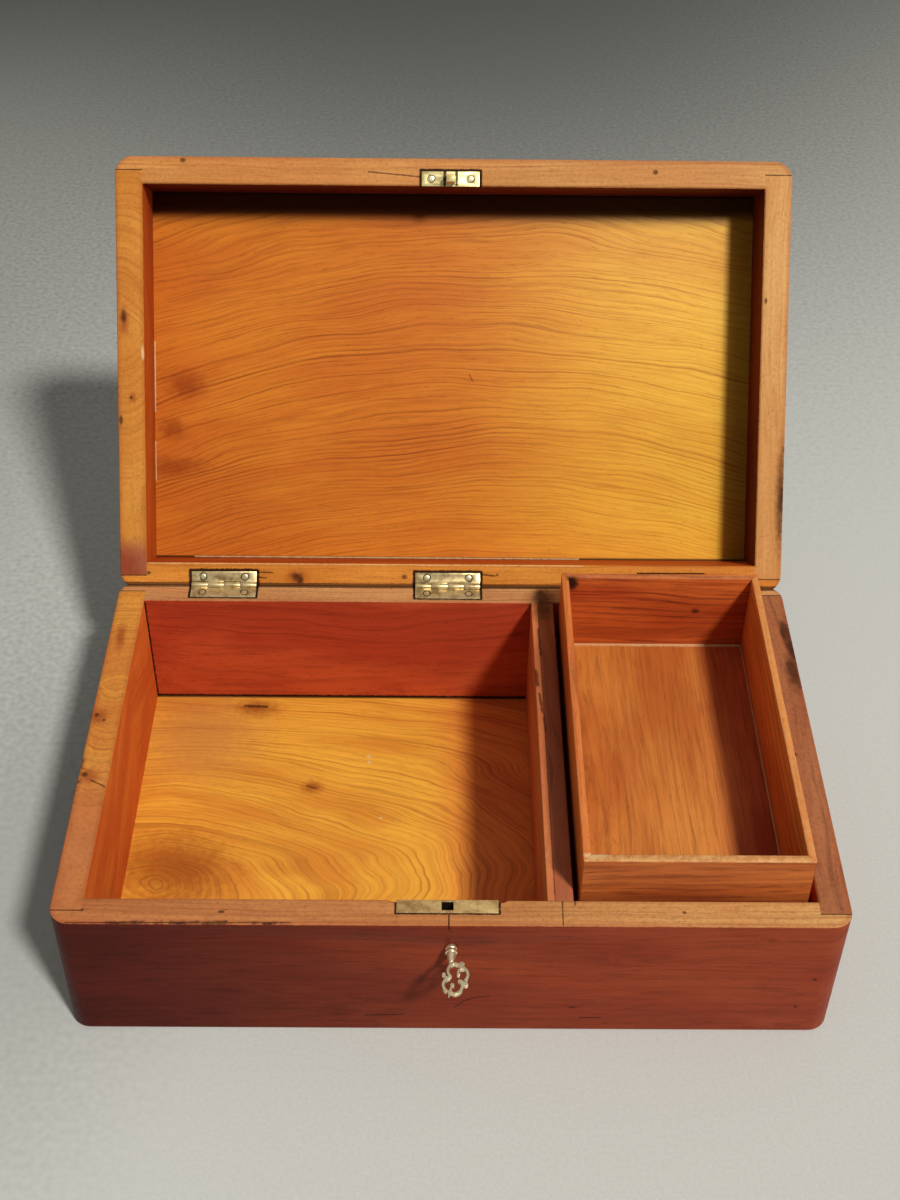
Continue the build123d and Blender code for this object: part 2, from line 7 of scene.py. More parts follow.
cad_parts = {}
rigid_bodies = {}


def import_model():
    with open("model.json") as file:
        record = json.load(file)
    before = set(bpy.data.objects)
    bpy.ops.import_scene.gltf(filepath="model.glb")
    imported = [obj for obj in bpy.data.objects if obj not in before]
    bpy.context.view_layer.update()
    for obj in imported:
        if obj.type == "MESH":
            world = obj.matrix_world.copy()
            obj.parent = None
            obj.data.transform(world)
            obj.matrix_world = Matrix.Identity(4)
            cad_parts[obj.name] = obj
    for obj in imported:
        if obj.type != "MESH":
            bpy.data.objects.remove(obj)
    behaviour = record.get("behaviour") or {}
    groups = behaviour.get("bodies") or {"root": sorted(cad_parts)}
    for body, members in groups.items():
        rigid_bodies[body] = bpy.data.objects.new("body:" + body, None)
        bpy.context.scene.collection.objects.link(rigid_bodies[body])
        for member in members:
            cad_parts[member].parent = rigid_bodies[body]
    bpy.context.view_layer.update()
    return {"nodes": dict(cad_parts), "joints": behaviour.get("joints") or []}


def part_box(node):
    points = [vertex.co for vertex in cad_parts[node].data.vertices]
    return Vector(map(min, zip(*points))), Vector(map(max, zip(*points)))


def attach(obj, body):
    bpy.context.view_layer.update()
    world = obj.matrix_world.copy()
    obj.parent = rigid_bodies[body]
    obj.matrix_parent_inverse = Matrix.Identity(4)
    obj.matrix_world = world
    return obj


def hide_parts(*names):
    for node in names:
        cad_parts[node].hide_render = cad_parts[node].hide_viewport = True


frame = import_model()

MM = 0.001

# Places read from the frame
LID_JOINT = next(joint for joint in frame["joints"] if joint["name"] == "lid_hinge")
PIN = Vector(LID_JOINT["pos_m"])
CLOSE_TURN = math.radians(-LID_JOINT["range_deg"][0])
BASE_LOW, BASE_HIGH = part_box("base_left_board")
RIM = BASE_HIGH.z
HALF_WIDTH = -BASE_LOW.x
WALL = BASE_HIGH.x - BASE_LOW.x
HALF_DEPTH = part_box("base_back_board")[1].y
INNER_RIGHT = HALF_WIDTH - WALL
INNER_BACK = HALF_DEPTH - WALL
LAP_SEAM = HALF_DEPTH - WALL / 2
LID_RIM = 2 * PIN.z - RIM

# Sizes of the case that its boxes don't show
CORNER_RADIUS = 8 * MM
LID_TOP = LID_RIM + 36 * MM

# Sizes of the dressing
ARRIS = 0.5 * MM
TRAY_ARRIS = 0.35 * MM
BRASS_ARRIS = 0.12 * MM
NAIL_RING = 1.5 * MM
ARRIS_STEPS = 2
SHARP_ANGLE = 35
MERGE_DISTANCE = 0.01 * MM
FLAT_ANGLE = 0.5
KEY_GRAIN = 0.13 * MM
KEY_MELT = 7
KEY_ANGLE = 60

# Where the finishes of a case board begin and end, from its rim, its outside or its lap seam
RIM_EDGE = (0.25 * MM, 0.8 * MM)
STAIN_EDGE = (-0.9 * MM, -0.3 * MM)
OUTER_ARRIS_EDGE = (-2.6 * MM, -0.2 * MM)
SEAM_EDGE = (0.12 * MM, 0.4 * MM)
ARRIS_REACH = 2.2 * MM
RAGGEDNESS = 0.9 * MM
TOP_STAIN_EDGE = (LID_TOP - 2.4 * MM, LID_TOP - 1.6 * MM)
DIRT_FADE = 4 * MM

# Where the painted shade in the corners of a panel ends, from the boards beside it
SIDE_SHADE_EDGE = (4 * MM, 18 * MM)
FRONT_SHADE_EDGE = (6 * MM, 17 * MM)
END_GAP_EDGE = (0.4 * MM, 1.4 * MM)

# Noise waves per metre, along the grain and across it
SLOW_DRIFT = (6, 15, 15)
QUICK_RIPPLE = (24, 60, 60)
RING_PATCHES = (14, 50, 50)
FIBRES = (34, 1250, 1000)
PORES = (160, 2500, 2200)
BANDS = (7, 95, 60)
CLOUDS = (10, 22, 22)
STAIN_STREAKS = (40, 90, 120)
LONG_SCRATCHES = (18, 900, 500)
CROSS_SCRATCHES = (900, 14, 500)
BRASS_RUBBING = (220, 3600, 3600)

# Camera, in metres and degrees
CAMERA_PLACE = (-0.0061, -0.4838, 0.5730)
CAMERA_PITCH = 41.63
CAMERA_YAW = 0.57
CAMERA_ROLL = 0.775
CAMERA_LENS = 50.71

# Light
LIGHT_FROM = Vector((0.48, -0.66, 1.0)).normalized()
LIGHT_SPREAD = 7.0
LIGHT_STRENGTH = 2.9
FILL_LOW = 0.06
FILL_HIGH = 0.40


# Small helpers for meshes

def deselect():
    bpy.ops.object.select_all(action="DESELECT")


def pick(piece):
    """Make one object the only selected one."""
    deselect()
    piece.select_set(True)
    bpy.context.view_layer.objects.active = piece


def apply_modifiers(piece):
    pick(piece)
    for modifier in list(piece.modifiers):
        bpy.ops.object.modifier_apply(modifier=modifier.name)


def bevel(piece, width):
    """Round the sharp arrises of a piece."""
    modifier = piece.modifiers.new("Arris", "BEVEL")
    modifier.width = width
    modifier.segments = ARRIS_STEPS
    modifier.limit_method = "ANGLE"
    modifier.angle_limit = math.radians(SHARP_ANGLE)
    modifier.miter_outer = "MITER_ARC"


def smooth(piece, angle):
    pick(piece)
    bpy.ops.object.shade_smooth_by_angle(angle=math.radians(angle))


def place(piece, name, body, slot, *nodes):
    """Name a piece, let it ride with a body and stand for CAD nodes."""
    piece.name = name
    piece.data.name = name
    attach(piece, body)
    if nodes:
        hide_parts(*nodes)
    return piece


def clean_copy(node_name):
    """A copy of a CAD node with its loose triangles merged into plain faces."""
    pick(frame["nodes"][node_name])
    bpy.ops.object.duplicate()
    piece = bpy.context.object
    for key in list(piece.keys()):
        del piece[key]
    bpy.ops.object.parent_clear(type="CLEAR_KEEP_TRANSFORM")
    piece.data.materials.clear()
    bpy.ops.object.mode_set(mode="EDIT")
    bpy.ops.mesh.select_all(action="SELECT")
    bpy.ops.mesh.remove_doubles(threshold=MERGE_DISTANCE)
    bpy.ops.mesh.dissolve_limited(angle_limit=math.radians(FLAT_ANGLE))
    bpy.ops.mesh.normals_make_consistent(inside=False)
    bpy.ops.object.mode_set(mode="OBJECT")
    return piece


def softened(node_name, width, body, slot):
    """A CAD node with its arrises rounded, which stands for that node."""
    piece = clean_copy(node_name)
    bevel(piece, width)
    apply_modifiers(piece)
    smooth(piece, SHARP_ANGLE)
    return place(piece, node_name + "_worn", body, slot, node_name)


# Small helpers for nodes

def add(tree, kind, links=None, **settings):
    """A node with its settings. Links gives its inputs sockets or values."""
    made = tree.nodes.new(kind)
    for key, value in settings.items():
        setattr(made, key, value)
    for key, value in (links or {}).items():
        if isinstance(value, bpy.types.NodeSocket):
            tree.links.new(value, made.inputs[key])
        else:
            made.inputs[key].default_value = value
    return made


def calc(tree, operation, a, b=0.0, c=0.0, clamp=False):
    return add(tree, "ShaderNodeMath", {0: a, 1: b, 2: c}, operation=operation, use_clamp=clamp).outputs[0]


def times(tree, a, b):
    return calc(tree, "MULTIPLY", a, b)


def minus(tree, a, b):
    return calc(tree, "SUBTRACT", a, b)


def distance(tree, a, b):
    """How far a place is from a line, from its two distances across that line."""
    return calc(tree, "SQRT", calc(tree, "ADD", times(tree, a, a), times(tree, b, b)))


def vector_calc(tree, operation, a, b=(0, 0, 0)):
    return add(tree, "ShaderNodeVectorMath", {0: a, 1: b}, operation=operation).outputs[0]


def measure(tree, operation, a, b=(0, 0, 0)):
    """A number from one or two vectors, such as a length or a dot product."""
    return add(tree, "ShaderNodeVectorMath", {0: a, 1: b}, operation=operation).outputs[1]


def fade(tree, value, low, high):
    """0 below low, 1 above high, with a soft step between."""
    made = add(tree, "ShaderNodeMapRange", {0: value, 1: low, 2: high}, interpolation_type="SMOOTHSTEP")
    return made.outputs[0]


def near(tree, value, low, high):
    """1 below low, 0 above high, with a soft step between."""
    return minus(tree, 1.0, fade(tree, value, low, high))


def blend(tree, factor, a, b):
    """Mix two colours."""
    return add(tree, "ShaderNodeMix", {0: factor, 6: a, 7: b}, data_type="RGBA").outputs[2]


def lay(tree, colour, paint, mask, strength):
    """Lay a paint over a colour where a mask says."""
    return blend(tree, times(tree, mask, strength), colour, paint)


def noise(tree, vector, scale, detail=3.0, rough=0.5, warp=0.0):
    links = {"Vector": vector, "Scale": scale, "Detail": detail, "Roughness": rough, "Distortion": warp}
    return add(tree, "ShaderNodeTexNoise", links).outputs[0]


def swing(tree, *settings):
    """Noise that swings to both sides of nothing."""
    return minus(tree, noise(tree, *settings), 0.5)


def stretch(tree, vector, scale, shift=(0, 0, 0), turn=(0, 0, 0)):
    links = {"Vector": vector, "Location": shift, "Rotation": turn, "Scale": scale}
    return add(tree, "ShaderNodeMapping", links).outputs[0]


def parts_of(tree, vector):
    made = add(tree, "ShaderNodeSeparateXYZ", {0: vector})
    return made.outputs[0], made.outputs[1], made.outputs[2]


def vector_from(tree, x, y, z):
    return add(tree, "ShaderNodeCombineXYZ", {0: x, 1: y, 2: z}).outputs[0]


def new_group(name, inputs, outputs):
    """A node group with named sockets. Inputs gives each socket's kind and default."""
    tree = bpy.data.node_groups.new(name, "ShaderNodeTree")
    for label, (kind, default) in inputs.items():
        socket = tree.interface.new_socket(name=label, in_out="INPUT", socket_type="NodeSocket" + kind)
        if default is not None:
            socket.default_value = default
    for label, kind in outputs.items():
        tree.interface.new_socket(name=label, in_out="OUTPUT", socket_type="NodeSocket" + kind)
    return tree, tree.nodes.new("NodeGroupInput").outputs, tree.nodes.new("NodeGroupOutput").inputs


def use(tree, group, links):
    return add(tree, "ShaderNodeGroup", links, node_tree=group).outputs


# Node groups

def make_wood_figure():
    """Growth rings of a log whose heart runs along X, with fibre, pores and slow colour change.

    Arch bends the rings across the board. The heart sinks by Sink within Sink Length of the crest,
    which closes the rings round it.
    """
    tree, ins, outs = new_group(
        "Wood figure",
        {"Vector": ("Vector", None), "Ring Spacing": ("Float", 0.002), "Wander": ("Float", 0.006),
         "Heart Y": ("Float", 0.0), "Heart Z": ("Float", -0.05), "Seed": ("Float", 0.0),
         "Crest X": ("Float", 0.0), "Arch": ("Float", 0.0), "Sink": ("Float", 0.0),
         "Sink Length": ("Float", 0.1)},
        {"Rings": "Float", "Fibre": "Float", "Pores": "Float", "Bands": "Float", "Cloud": "Float"})
    offset = vector_from(tree, ins["Seed"], times(tree, ins["Seed"], 0.37), ins["Seed"])
    seeded = vector_calc(tree, "ADD", ins["Vector"], offset)
    x, y, z = parts_of(tree, ins["Vector"])
    slow = stretch(tree, seeded, SLOW_DRIFT)
    quick = stretch(tree, seeded, QUICK_RIPPLE)
    elsewhere = stretch(tree, slow, (1, 1, 1), (3.7, 1.9, 8.1))
    drift_y = swing(tree, slow, 1.0, 2.0)
    drift_z = swing(tree, elsewhere, 1.0, 2.0)
    ripple = swing(tree, quick, 1.0, 3.0)
    along = minus(tree, x, ins["Crest X"])
    far_y = minus(tree, y, ins["Heart Y"])
    far_y = calc(tree, "MULTIPLY_ADD", times(tree, along, along), ins["Arch"], far_y)
    sunk = calc(tree, "DIVIDE", calc(tree, "ABSOLUTE", along), ins["Sink Length"], clamp=True)
    far_z = calc(tree, "MULTIPLY_ADD", sunk, ins["Sink"], minus(tree, z, ins["Heart Z"]))
    wide = times(tree, ins["Wander"], 4.0)
    moved_y = calc(tree, "MULTIPLY_ADD", drift_y, wide, far_y)
    moved_z = calc(tree, "MULTIPLY_ADD", drift_z, wide, far_z)
    radius = distance(tree, moved_y, moved_z)
    radius = calc(tree, "MULTIPLY_ADD", ripple, times(tree, ins["Wander"], 0.6), radius)
    count = calc(tree, "DIVIDE", radius, ins["Ring Spacing"])
    uneven = noise(tree, vector_from(tree, count, ins["Seed"], 0.0), 0.45, 1.0)
    count = calc(tree, "MULTIPLY_ADD", uneven, 2.4, count)
    share = calc(tree, "FRACT", count)
    late_wood = fade(tree, share, 0.30, 0.92)
    ring_end = fade(tree, share, 0.94, 1.0)
    ring = calc(tree, "SUBTRACT", late_wood, ring_end, clamp=True)
    sharp = calc(tree, "POWER", ring, 2.2)
    number = calc(tree, "FLOOR", count)
    year = add(tree, "ShaderNodeTexWhiteNoise", {"W": number}, noise_dimensions="1D").outputs[0]
    weight = calc(tree, "MULTIPLY_ADD", calc(tree, "POWER", year, 1.5), 0.8, 0.2)
    patchy = noise(tree, stretch(tree, seeded, RING_PATCHES), 1.0, 3.0)
    patchy = calc(tree, "MULTIPLY_ADD", patchy, 2.0, -0.25, clamp=True)
    tree.links.new(times(tree, times(tree, sharp, weight), patchy), outs["Rings"])
    bent = vector_from(tree, calc(tree, "ADD", x, ins["Seed"]), radius, times(tree, z, 0.4))
    fibre = noise(tree, stretch(tree, bent, FIBRES), 1.0, 6.0, 0.72)
    tree.links.new(fibre, outs["Fibre"])
    dashes = noise(tree, stretch(tree, bent, PORES), 1.0, 2.0, 0.5)
    tree.links.new(fade(tree, dashes, 0.62, 0.74), outs["Pores"])
    bands = noise(tree, stretch(tree, bent, BANDS), 1.0, 4.0, 0.6)
    tree.links.new(bands, outs["Bands"])
    cloud = noise(tree, stretch(tree, seeded, CLOUDS), 1.0, 3.0, 0.55, 0.4)
    tree.links.new(cloud, outs["Cloud"])
    return tree


def make_case_zones():
    """Where a case board is outside, on the rim or near an arris, from the place in the shut case."""
    tree, ins, outs = new_group(
        "Case zones",
        {"Vector": ("Vector", None), "Rim Height": ("Float", 0.0)},
        {"Outside": "Float", "Rim": "Float", "Outer Arris": "Float", "Inner Arris": "Float", "Seam": "Float"})
    x, y, z = parts_of(tree, ins["Vector"])
    rag = times(tree, swing(tree, ins["Vector"], 420.0, 4.0, 0.7), RAGGEDNESS)
    far_x = calc(tree, "ABSOLUTE", x)
    far_y = calc(tree, "ABSOLUTE", y)
    corner_x = calc(tree, "MAXIMUM", minus(tree, far_x, HALF_WIDTH - CORNER_RADIUS), 0.0)
    corner_y = calc(tree, "MAXIMUM", minus(tree, far_y, HALF_DEPTH - CORNER_RADIUS), 0.0)
    outward = minus(tree, distance(tree, corner_x, corner_y), CORNER_RADIUS)
    outward = calc(tree, "ADD", outward, rag)
    height = calc(tree, "ABSOLUTE", minus(tree, z, ins["Rim Height"]))
    on_rim = near(tree, calc(tree, "ADD", height, rag), *RIM_EDGE)
    outside = fade(tree, outward, *STAIN_EDGE)
    tree.links.new(times(tree, outside, minus(tree, 1.0, on_rim)), outs["Outside"])
    tree.links.new(on_rim, outs["Rim"])
    near_rim = near(tree, height, 0.0, ARRIS_REACH)
    near_outside = fade(tree, outward, *OUTER_ARRIS_EDGE)
    tree.links.new(times(tree, near_rim, near_outside), outs["Outer Arris"])
    inner_x = minus(tree, far_x, INNER_RIGHT)
    inner_y = minus(tree, far_y, INNER_BACK)
    inner = calc(tree, "MAXIMUM", inner_x, inner_y)
    near_inside = near(tree, calc(tree, "ABSOLUTE", inner), 0.2 * MM, ARRIS_REACH)
    tree.links.new(times(tree, near_rim, near_inside), outs["Inner Arris"])
    from_seam = calc(tree, "ABSOLUTE", minus(tree, far_y, LAP_SEAM))
    from_seam = calc(tree, "MULTIPLY_ADD", rag, 0.3, from_seam)
    on_seam = near(tree, from_seam, *SEAM_EDGE)
    on_end = fade(tree, far_x, INNER_RIGHT - 0.2 * MM, INNER_RIGHT)
    tree.links.new(times(tree, times(tree, on_seam, on_end), near_rim), outs["Seam"])
    return tree


def make_stains():
    """Blotches, fine specks and long scratches for old wood."""
    tree, ins, outs = new_group(
        "Old stains",
        {"Vector": ("Vector", None), "Size": ("Float", 30.0), "Amount": ("Float", 0.5)},
        {"Blotch": "Float", "Specks": "Float", "Scratches": "Float"})
    big = noise(tree, ins["Vector"], ins["Size"], 5.0, 0.62, 0.6)
    low = minus(tree, 0.78, times(tree, ins["Amount"], 0.3))
    tree.links.new(fade(tree, big, low, calc(tree, "ADD", low, 0.14)), outs["Blotch"])
    specks = noise(tree, ins["Vector"], 900.0, 1.0, 0.5)
    tree.links.new(fade(tree, specks, 0.72, 0.78), outs["Specks"])
    one_way = stretch(tree, ins["Vector"], LONG_SCRATCHES, (0, 0, 0), (0.1, 0.2, 0.35))
    other_way = stretch(tree, ins["Vector"], CROSS_SCRATCHES, (3, 1, 2), (0.2, 0.1, 0.25))
    lines = fade(tree, noise(tree, one_way, 1.0, 2.0), 0.70, 0.76)
    crossing = fade(tree, noise(tree, other_way, 1.0, 2.0), 0.71, 0.77)
    tree.links.new(calc(tree, "MAXIMUM", lines, crossing), outs["Scratches"])
    return tree


def make_brass_age():
    """Tarnish, spots and rubbed lines for old brass."""
    tree, ins, outs = new_group(
        "Brass age",
        {"Vector": ("Vector", None)},
        {"Tarnish": "Float", "Spots": "Float", "Rubbing": "Float"})
    tree.links.new(noise(tree, ins["Vector"], 260.0, 6.0, 0.65, 0.5), outs["Tarnish"])
    spots = noise(tree, ins["Vector"], 1500.0, 3.0, 0.6)
    tree.links.new(fade(tree, spots, 0.60, 0.72), outs["Spots"])
    tree.links.new(noise(tree, stretch(tree, ins["Vector"], BRASS_RUBBING), 1.0, 3.0), outs["Rubbing"])
    return tree


def make_spot():
    """A round mark at one place: 1 in the middle and 0 at its edge."""
    tree, ins, outs = new_group(
        "Round mark",
        {"Vector": ("Vector", None), "Centre": ("Vector", None), "Size": ("Vector", None)},
        {"Mask": "Float", "Distance": "Float"})
    away = vector_calc(tree, "SUBTRACT", ins["Vector"], ins["Centre"])
    away = vector_calc(tree, "DIVIDE", away, ins["Size"])
    wobble = swing(tree, ins["Vector"], 350.0, 3.0)
    length = calc(tree, "MULTIPLY_ADD", wobble, 0.7, measure(tree, "LENGTH", away))
    tree.links.new(length, outs["Distance"])
    tree.links.new(near(tree, length, 0.35, 1.0), outs["Mask"])
    return tree


def make_line_mark():
    """A thin wandering line between two places: 1 on it and 0 beside it."""
    tree, ins, outs = new_group(
        "Line mark",
        {"Vector": ("Vector", None), "Start": ("Vector", None), "End": ("Vector", None),
         "Width": ("Float", 0.001)},
        {"Mask": "Float"})
    run = vector_calc(tree, "SUBTRACT", ins["End"], ins["Start"])
    away = vector_calc(tree, "SUBTRACT", ins["Vector"], ins["Start"])
    along = measure(tree, "DOT_PRODUCT", away, run)
    share = calc(tree, "DIVIDE", along, measure(tree, "DOT_PRODUCT", run, run), clamp=True)
    nearest = add(tree, "ShaderNodeVectorMath", {0: run, "Scale": share}, operation="SCALE").outputs[0]
    length = measure(tree, "LENGTH", vector_calc(tree, "SUBTRACT", away, nearest))
    wobble = swing(tree, ins["Vector"], 500.0, 3.0, 0.6)
    length = calc(tree, "MULTIPLY_ADD", wobble, times(tree, ins["Width"], 1.2), length)
    thin = times(tree, ins["Width"], 0.3)
    tree.links.new(near(tree, length, thin, ins["Width"]), outs["Mask"])
    return tree


def make_plate_outline():
    """The dark gap round a plate let into a rim, seen from above the plate."""
    tree, ins, outs = new_group(
        "Plate outline",
        {"Vector": ("Vector", None), "Centre": ("Vector", None), "Half Size": ("Vector", None),
         "Gap": ("Float", 0.001)},
        {"Mask": "Float"})
    away = vector_calc(tree, "ABSOLUTE", vector_calc(tree, "SUBTRACT", ins["Vector"], ins["Centre"]))
    beyond = vector_calc(tree, "MAXIMUM", vector_calc(tree, "SUBTRACT", away, ins["Half Size"]))
    rag = swing(tree, ins["Vector"], 650.0, 4.0, 0.7)
    length = measure(tree, "LENGTH", beyond)
    length = calc(tree, "MULTIPLY_ADD", rag, times(tree, ins["Gap"], 1.3), length)
    tree.links.new(near(tree, length, times(tree, ins["Gap"], 0.5), ins["Gap"]), outs["Mask"])
    return tree


WOOD_FIGURE = make_wood_figure()
CASE_ZONES = make_case_zones()
OLD_STAINS = make_stains()
BRASS_AGE = make_brass_age()
ROUND_MARK = make_spot()
LINE_MARK = make_line_mark()
PLATE_OUTLINE = make_plate_outline()


# Tones: each wood finish has a light wood, a dark ring line and a slow second tone

def tone(red, green, blue):
    """A colour given by its screen values."""
    def linear(value):
        share = value / 255
        return share / 12.92 if share <= 0.04045 else ((share + 0.055) / 1.055) ** 2.4
    return (linear(red), linear(green), linear(blue), 1.0)


def tones(light, dark, second):
    return tuple(tone(*colour) for colour in (light, dark, second))


FRONT_RIM = tones((202, 130, 76), (140, 80, 48), (188, 112, 64))
FRONT_RIM_RIGHT = tones((216, 162, 98), (164, 104, 62), (204, 142, 84))
LEFT_RIM = tones((218, 148, 60), (150, 84, 34), (200, 120, 52))
RIGHT_RIM = tones((178, 116, 76), (112, 64, 44), (164, 98, 62))
BACK_RIM = tones((214, 158, 100), (150, 92, 56), (196, 130, 80))
LID_TOP_RIM = tones((220, 156, 86), (158, 94, 50), (204, 132, 68))
LID_LEFT_RIM = tones((214, 146, 62), (150, 84, 32), (198, 122, 48))
LID_RIGHT_RIM = tones((222, 168, 104), (170, 112, 62), (208, 142, 80))
LID_LEFT_LOW = tones((178, 108, 74), (108, 54, 38), (154, 84, 58))
LID_LOW_RIM = tones((222, 146, 58), (158, 88, 34), (206, 124, 46))
# Painted shade and light: the outside's stain is darker on the left and paler on the right, as if lit from
# the right
OUTSIDE_SHADED_LEFT = tones((84, 26, 17), (44, 11, 8), (66, 18, 12))
OUTSIDE_LIT_RIGHT = tones((152, 66, 38), (92, 32, 20), (130, 48, 28))
WELL_RED = tones((200, 88, 48), (112, 34, 20), (174, 62, 36))
WELL_ORANGE = tones((228, 122, 50), (146, 60, 26), (208, 94, 38))
LID_INSIDE = tones((204, 102, 34), (124, 44, 18), (180, 74, 26))
PANEL_LEFT = tones((212, 124, 40), (120, 48, 18), (190, 92, 32))
PANEL_RIGHT = tones((236, 180, 62), (164, 92, 30), (218, 146, 46))
FLOOR_GOLD = tones((242, 176, 62), (146, 82, 32), (216, 136, 48))
# Painted shadow: the well floor passes into this darker red toward the divider, where the tray and divider
# cast shadow
FLOOR_SHADOW_RED = tones((224, 124, 56), (126, 52, 28), (198, 92, 44))
TRAY_RED = tones((204, 98, 40), (84, 26, 13), (164, 58, 25))
# Painted light: the tray's side boards are paler than its front and back, lifting their faces that lie in
# shadow
TRAY_SIDE_LIT = tones((230, 134, 60), (134, 58, 26), (204, 102, 46))
TRAY_FRONT = tones((192, 104, 46), (66, 24, 12), (148, 64, 28))
TRAY_FLOOR = tones((210, 132, 58), (128, 64, 27), (182, 96, 40))
# Painted shadow: the tray floor passes into this darker red toward its right board, which casts shadow there
TRAY_FLOOR_SHADOW_RED = tones((184, 88, 48), (104, 40, 20), (154, 60, 32))
DIVIDER = tones((212, 128, 76), (140, 70, 44), (188, 102, 60))
BATTEN = tones((176, 98, 62), (100, 50, 34), (150, 78, 50))
# Painted shade: the insides of the lid's front and right boards, which lie in shadow, are near black
LID_INSIDE_SHADED = tones((120, 46, 20), (56, 18, 10), (92, 32, 14))
# Dark dirt for marks, specks and gaps, also laid as painted shade in the gap along the hinge side
DARK_GRIME_AND_SHADE = tone(44, 20, 14)
GAP_BLACK = tone(24, 10, 8)
# Painted shade for the shadow that the boards cast into a panel's corners
PAINTED_EDGE_SHADE = tone(46, 11, 7)
RED_STAIN = tone(132, 46, 18)
FADED_WOOD = tone(182, 118, 72)
PALE_GLUE = tone(226, 190, 140)
WORN_ARRIS = tone(222, 166, 104)
FLOOR_NEAR = tone(202, 203, 197)
FLOOR_FAR = tone(50, 51, 47)
ARRIS_DIRT = tone(70, 36, 30)
BRASS_SPOTS = tone(74, 58, 34)
# Painted shade for brass where its surface turns away from the view
BRASS_EDGE_SHADE = tone(70, 48, 20)


def figure_colour(tree, figure, finish, rings=0.85, fibre=0.3, bands=0.9):
    """Colour one finish from the wood figure."""
    light, dark, second = finish
    slow = calc(tree, "MULTIPLY_ADD", figure["Cloud"], 0.5, times(tree, figure["Bands"], 0.5))
    colour = lay(tree, light, second, fade(tree, slow, 0.40, 0.60), bands)
    colour = lay(tree, colour, dark, fade(tree, figure["Fibre"], 0.44, 0.74), fibre)
    colour = lay(tree, colour, dark, figure["Rings"], rings)
    return lay(tree, colour, dark, figure["Pores"], 0.3)


def swept_colour(tree, figure, place_x, left, right, reach, **strengths):
    """A finish that passes slowly into another one from left to right."""
    colour = figure_colour(tree, figure, left, **strengths)
    if right is None:
        return colour
    other = figure_colour(tree, figure, right, **strengths)
    return blend(tree, fade(tree, place_x, reach[0], reach[1]), colour, other)


def outside_colour(tree, here, figure):
    """The dark stained finish of the outside, with painted shade making it darker to the left and painted
    light making it paler and redder to the right.
    """
    reach = (-HALF_WIDTH, 0.5 * HALF_WIDTH)
    place_x = parts_of(tree, here)[0]
    colour = swept_colour(tree, figure, place_x, OUTSIDE_SHADED_LEFT, OUTSIDE_LIT_RIGHT, reach,
                          rings=0.25, fibre=0.5, bands=0.6)
    streaks = fade(tree, noise(tree, stretch(tree, here, STAIN_STREAKS), 1.0, 6.0, 0.75), 0.50, 0.72)
    return lay(tree, colour, OUTSIDE_SHADED_LEFT[1], streaks, 0.3)


def start_material(name):
    material = bpy.data.materials.new(name)
    material.use_nodes = True
    tree = material.node_tree
    shader = tree.nodes["Principled BSDF"]
    coordinates = add(tree, "ShaderNodeTexCoord").outputs["Object"]
    return material, tree, shader, coordinates


def shut_case(tree, coordinates, lid):
    """The place that a point has when the lid is shut, so that lid and base share one frame."""
    if not lid:
        return coordinates
    turn = Matrix.Rotation(CLOSE_TURN, 3, "X")
    shift = PIN - turn @ PIN
    return stretch(tree, coordinates, (1, 1, 1), tuple(shift), (CLOSE_TURN, 0, 0))


def along_grain(tree, vector, grain):
    """Turn a place so that the grain runs along X."""
    x, y, z = parts_of(tree, vector)
    if grain == "y":
        return vector_from(tree, y, x, z)
    if grain == "z":
        return vector_from(tree, z, x, y)
    return vector


def wood_figure(tree, here, grain, seed, spacing=0.002, wander=0.003, heart=(0.0, -0.05), crest=0.0,
                arch=0.0, sink=0.0, sink_length=0.1):
    """The figure of one board, with its heart given across the grain."""
    return use(tree, WOOD_FIGURE, {
        "Vector": along_grain(tree, here, grain), "Ring Spacing": spacing, "Wander": wander,
        "Heart Y": heart[0], "Heart Z": heart[1], "Seed": seed, "Crest X": crest, "Arch": arch,
        "Sink": sink, "Sink Length": sink_length})


def finish_wood(tree, shader, colour, figure, stains, rough, shine, depth):
    """Feed a wood colour, roughness and relief into the shader."""
    tree.links.new(colour, shader.inputs["Base Color"])
    tree.links.new(calc(tree, "MULTIPLY_ADD", figure["Fibre"], 0.14, rough), shader.inputs["Roughness"])
    shader.inputs["Specular IOR Level"].default_value = shine
    height = minus(tree, figure["Fibre"], times(tree, figure["Pores"], 0.8))
    height = minus(tree, height, times(tree, stains["Scratches"], 0.25))
    bump = add(tree, "ShaderNodeBump", {"Strength": 0.6, "Distance": depth, "Height": height})
    tree.links.new(bump.outputs[0], shader.inputs["Normal"])


def soft_spot(tree, here, centre, size):
    """A round mark that fades all the way from its middle."""
    spot = use(tree, ROUND_MARK, {"Vector": here, "Centre": centre, "Size": size})
    return near(tree, spot["Distance"], 0.1, 1.1)


def mark_mask(tree, here, shapes):
    """The strongest of several marks, in millimetres in the shut case.

    A "spot" or "soft" has its centre and size, a "line" its start, end and width, and a "plate"
    its centre, half size and the gap round it.
    """
    mask = None
    for kind, first, second, *width in shapes:
        first = tuple(MM * value for value in first)
        second = tuple(MM * value for value in second)
        if kind == "soft":
            one = soft_spot(tree, here, first, second)
        elif kind == "spot":
            one = use(tree, ROUND_MARK, {"Vector": here, "Centre": first, "Size": second})["Mask"]
        elif kind == "line":
            links = {"Vector": here, "Start": first, "End": second, "Width": MM * width[0]}
            one = use(tree, LINE_MARK, links)["Mask"]
        else:
            links = {"Vector": here, "Centre": first, "Half Size": second, "Gap": MM * width[0]}
            one = use(tree, PLATE_OUTLINE, links)["Mask"]
        mask = one if mask is None else calc(tree, "MAXIMUM", mask, one)
    return mask


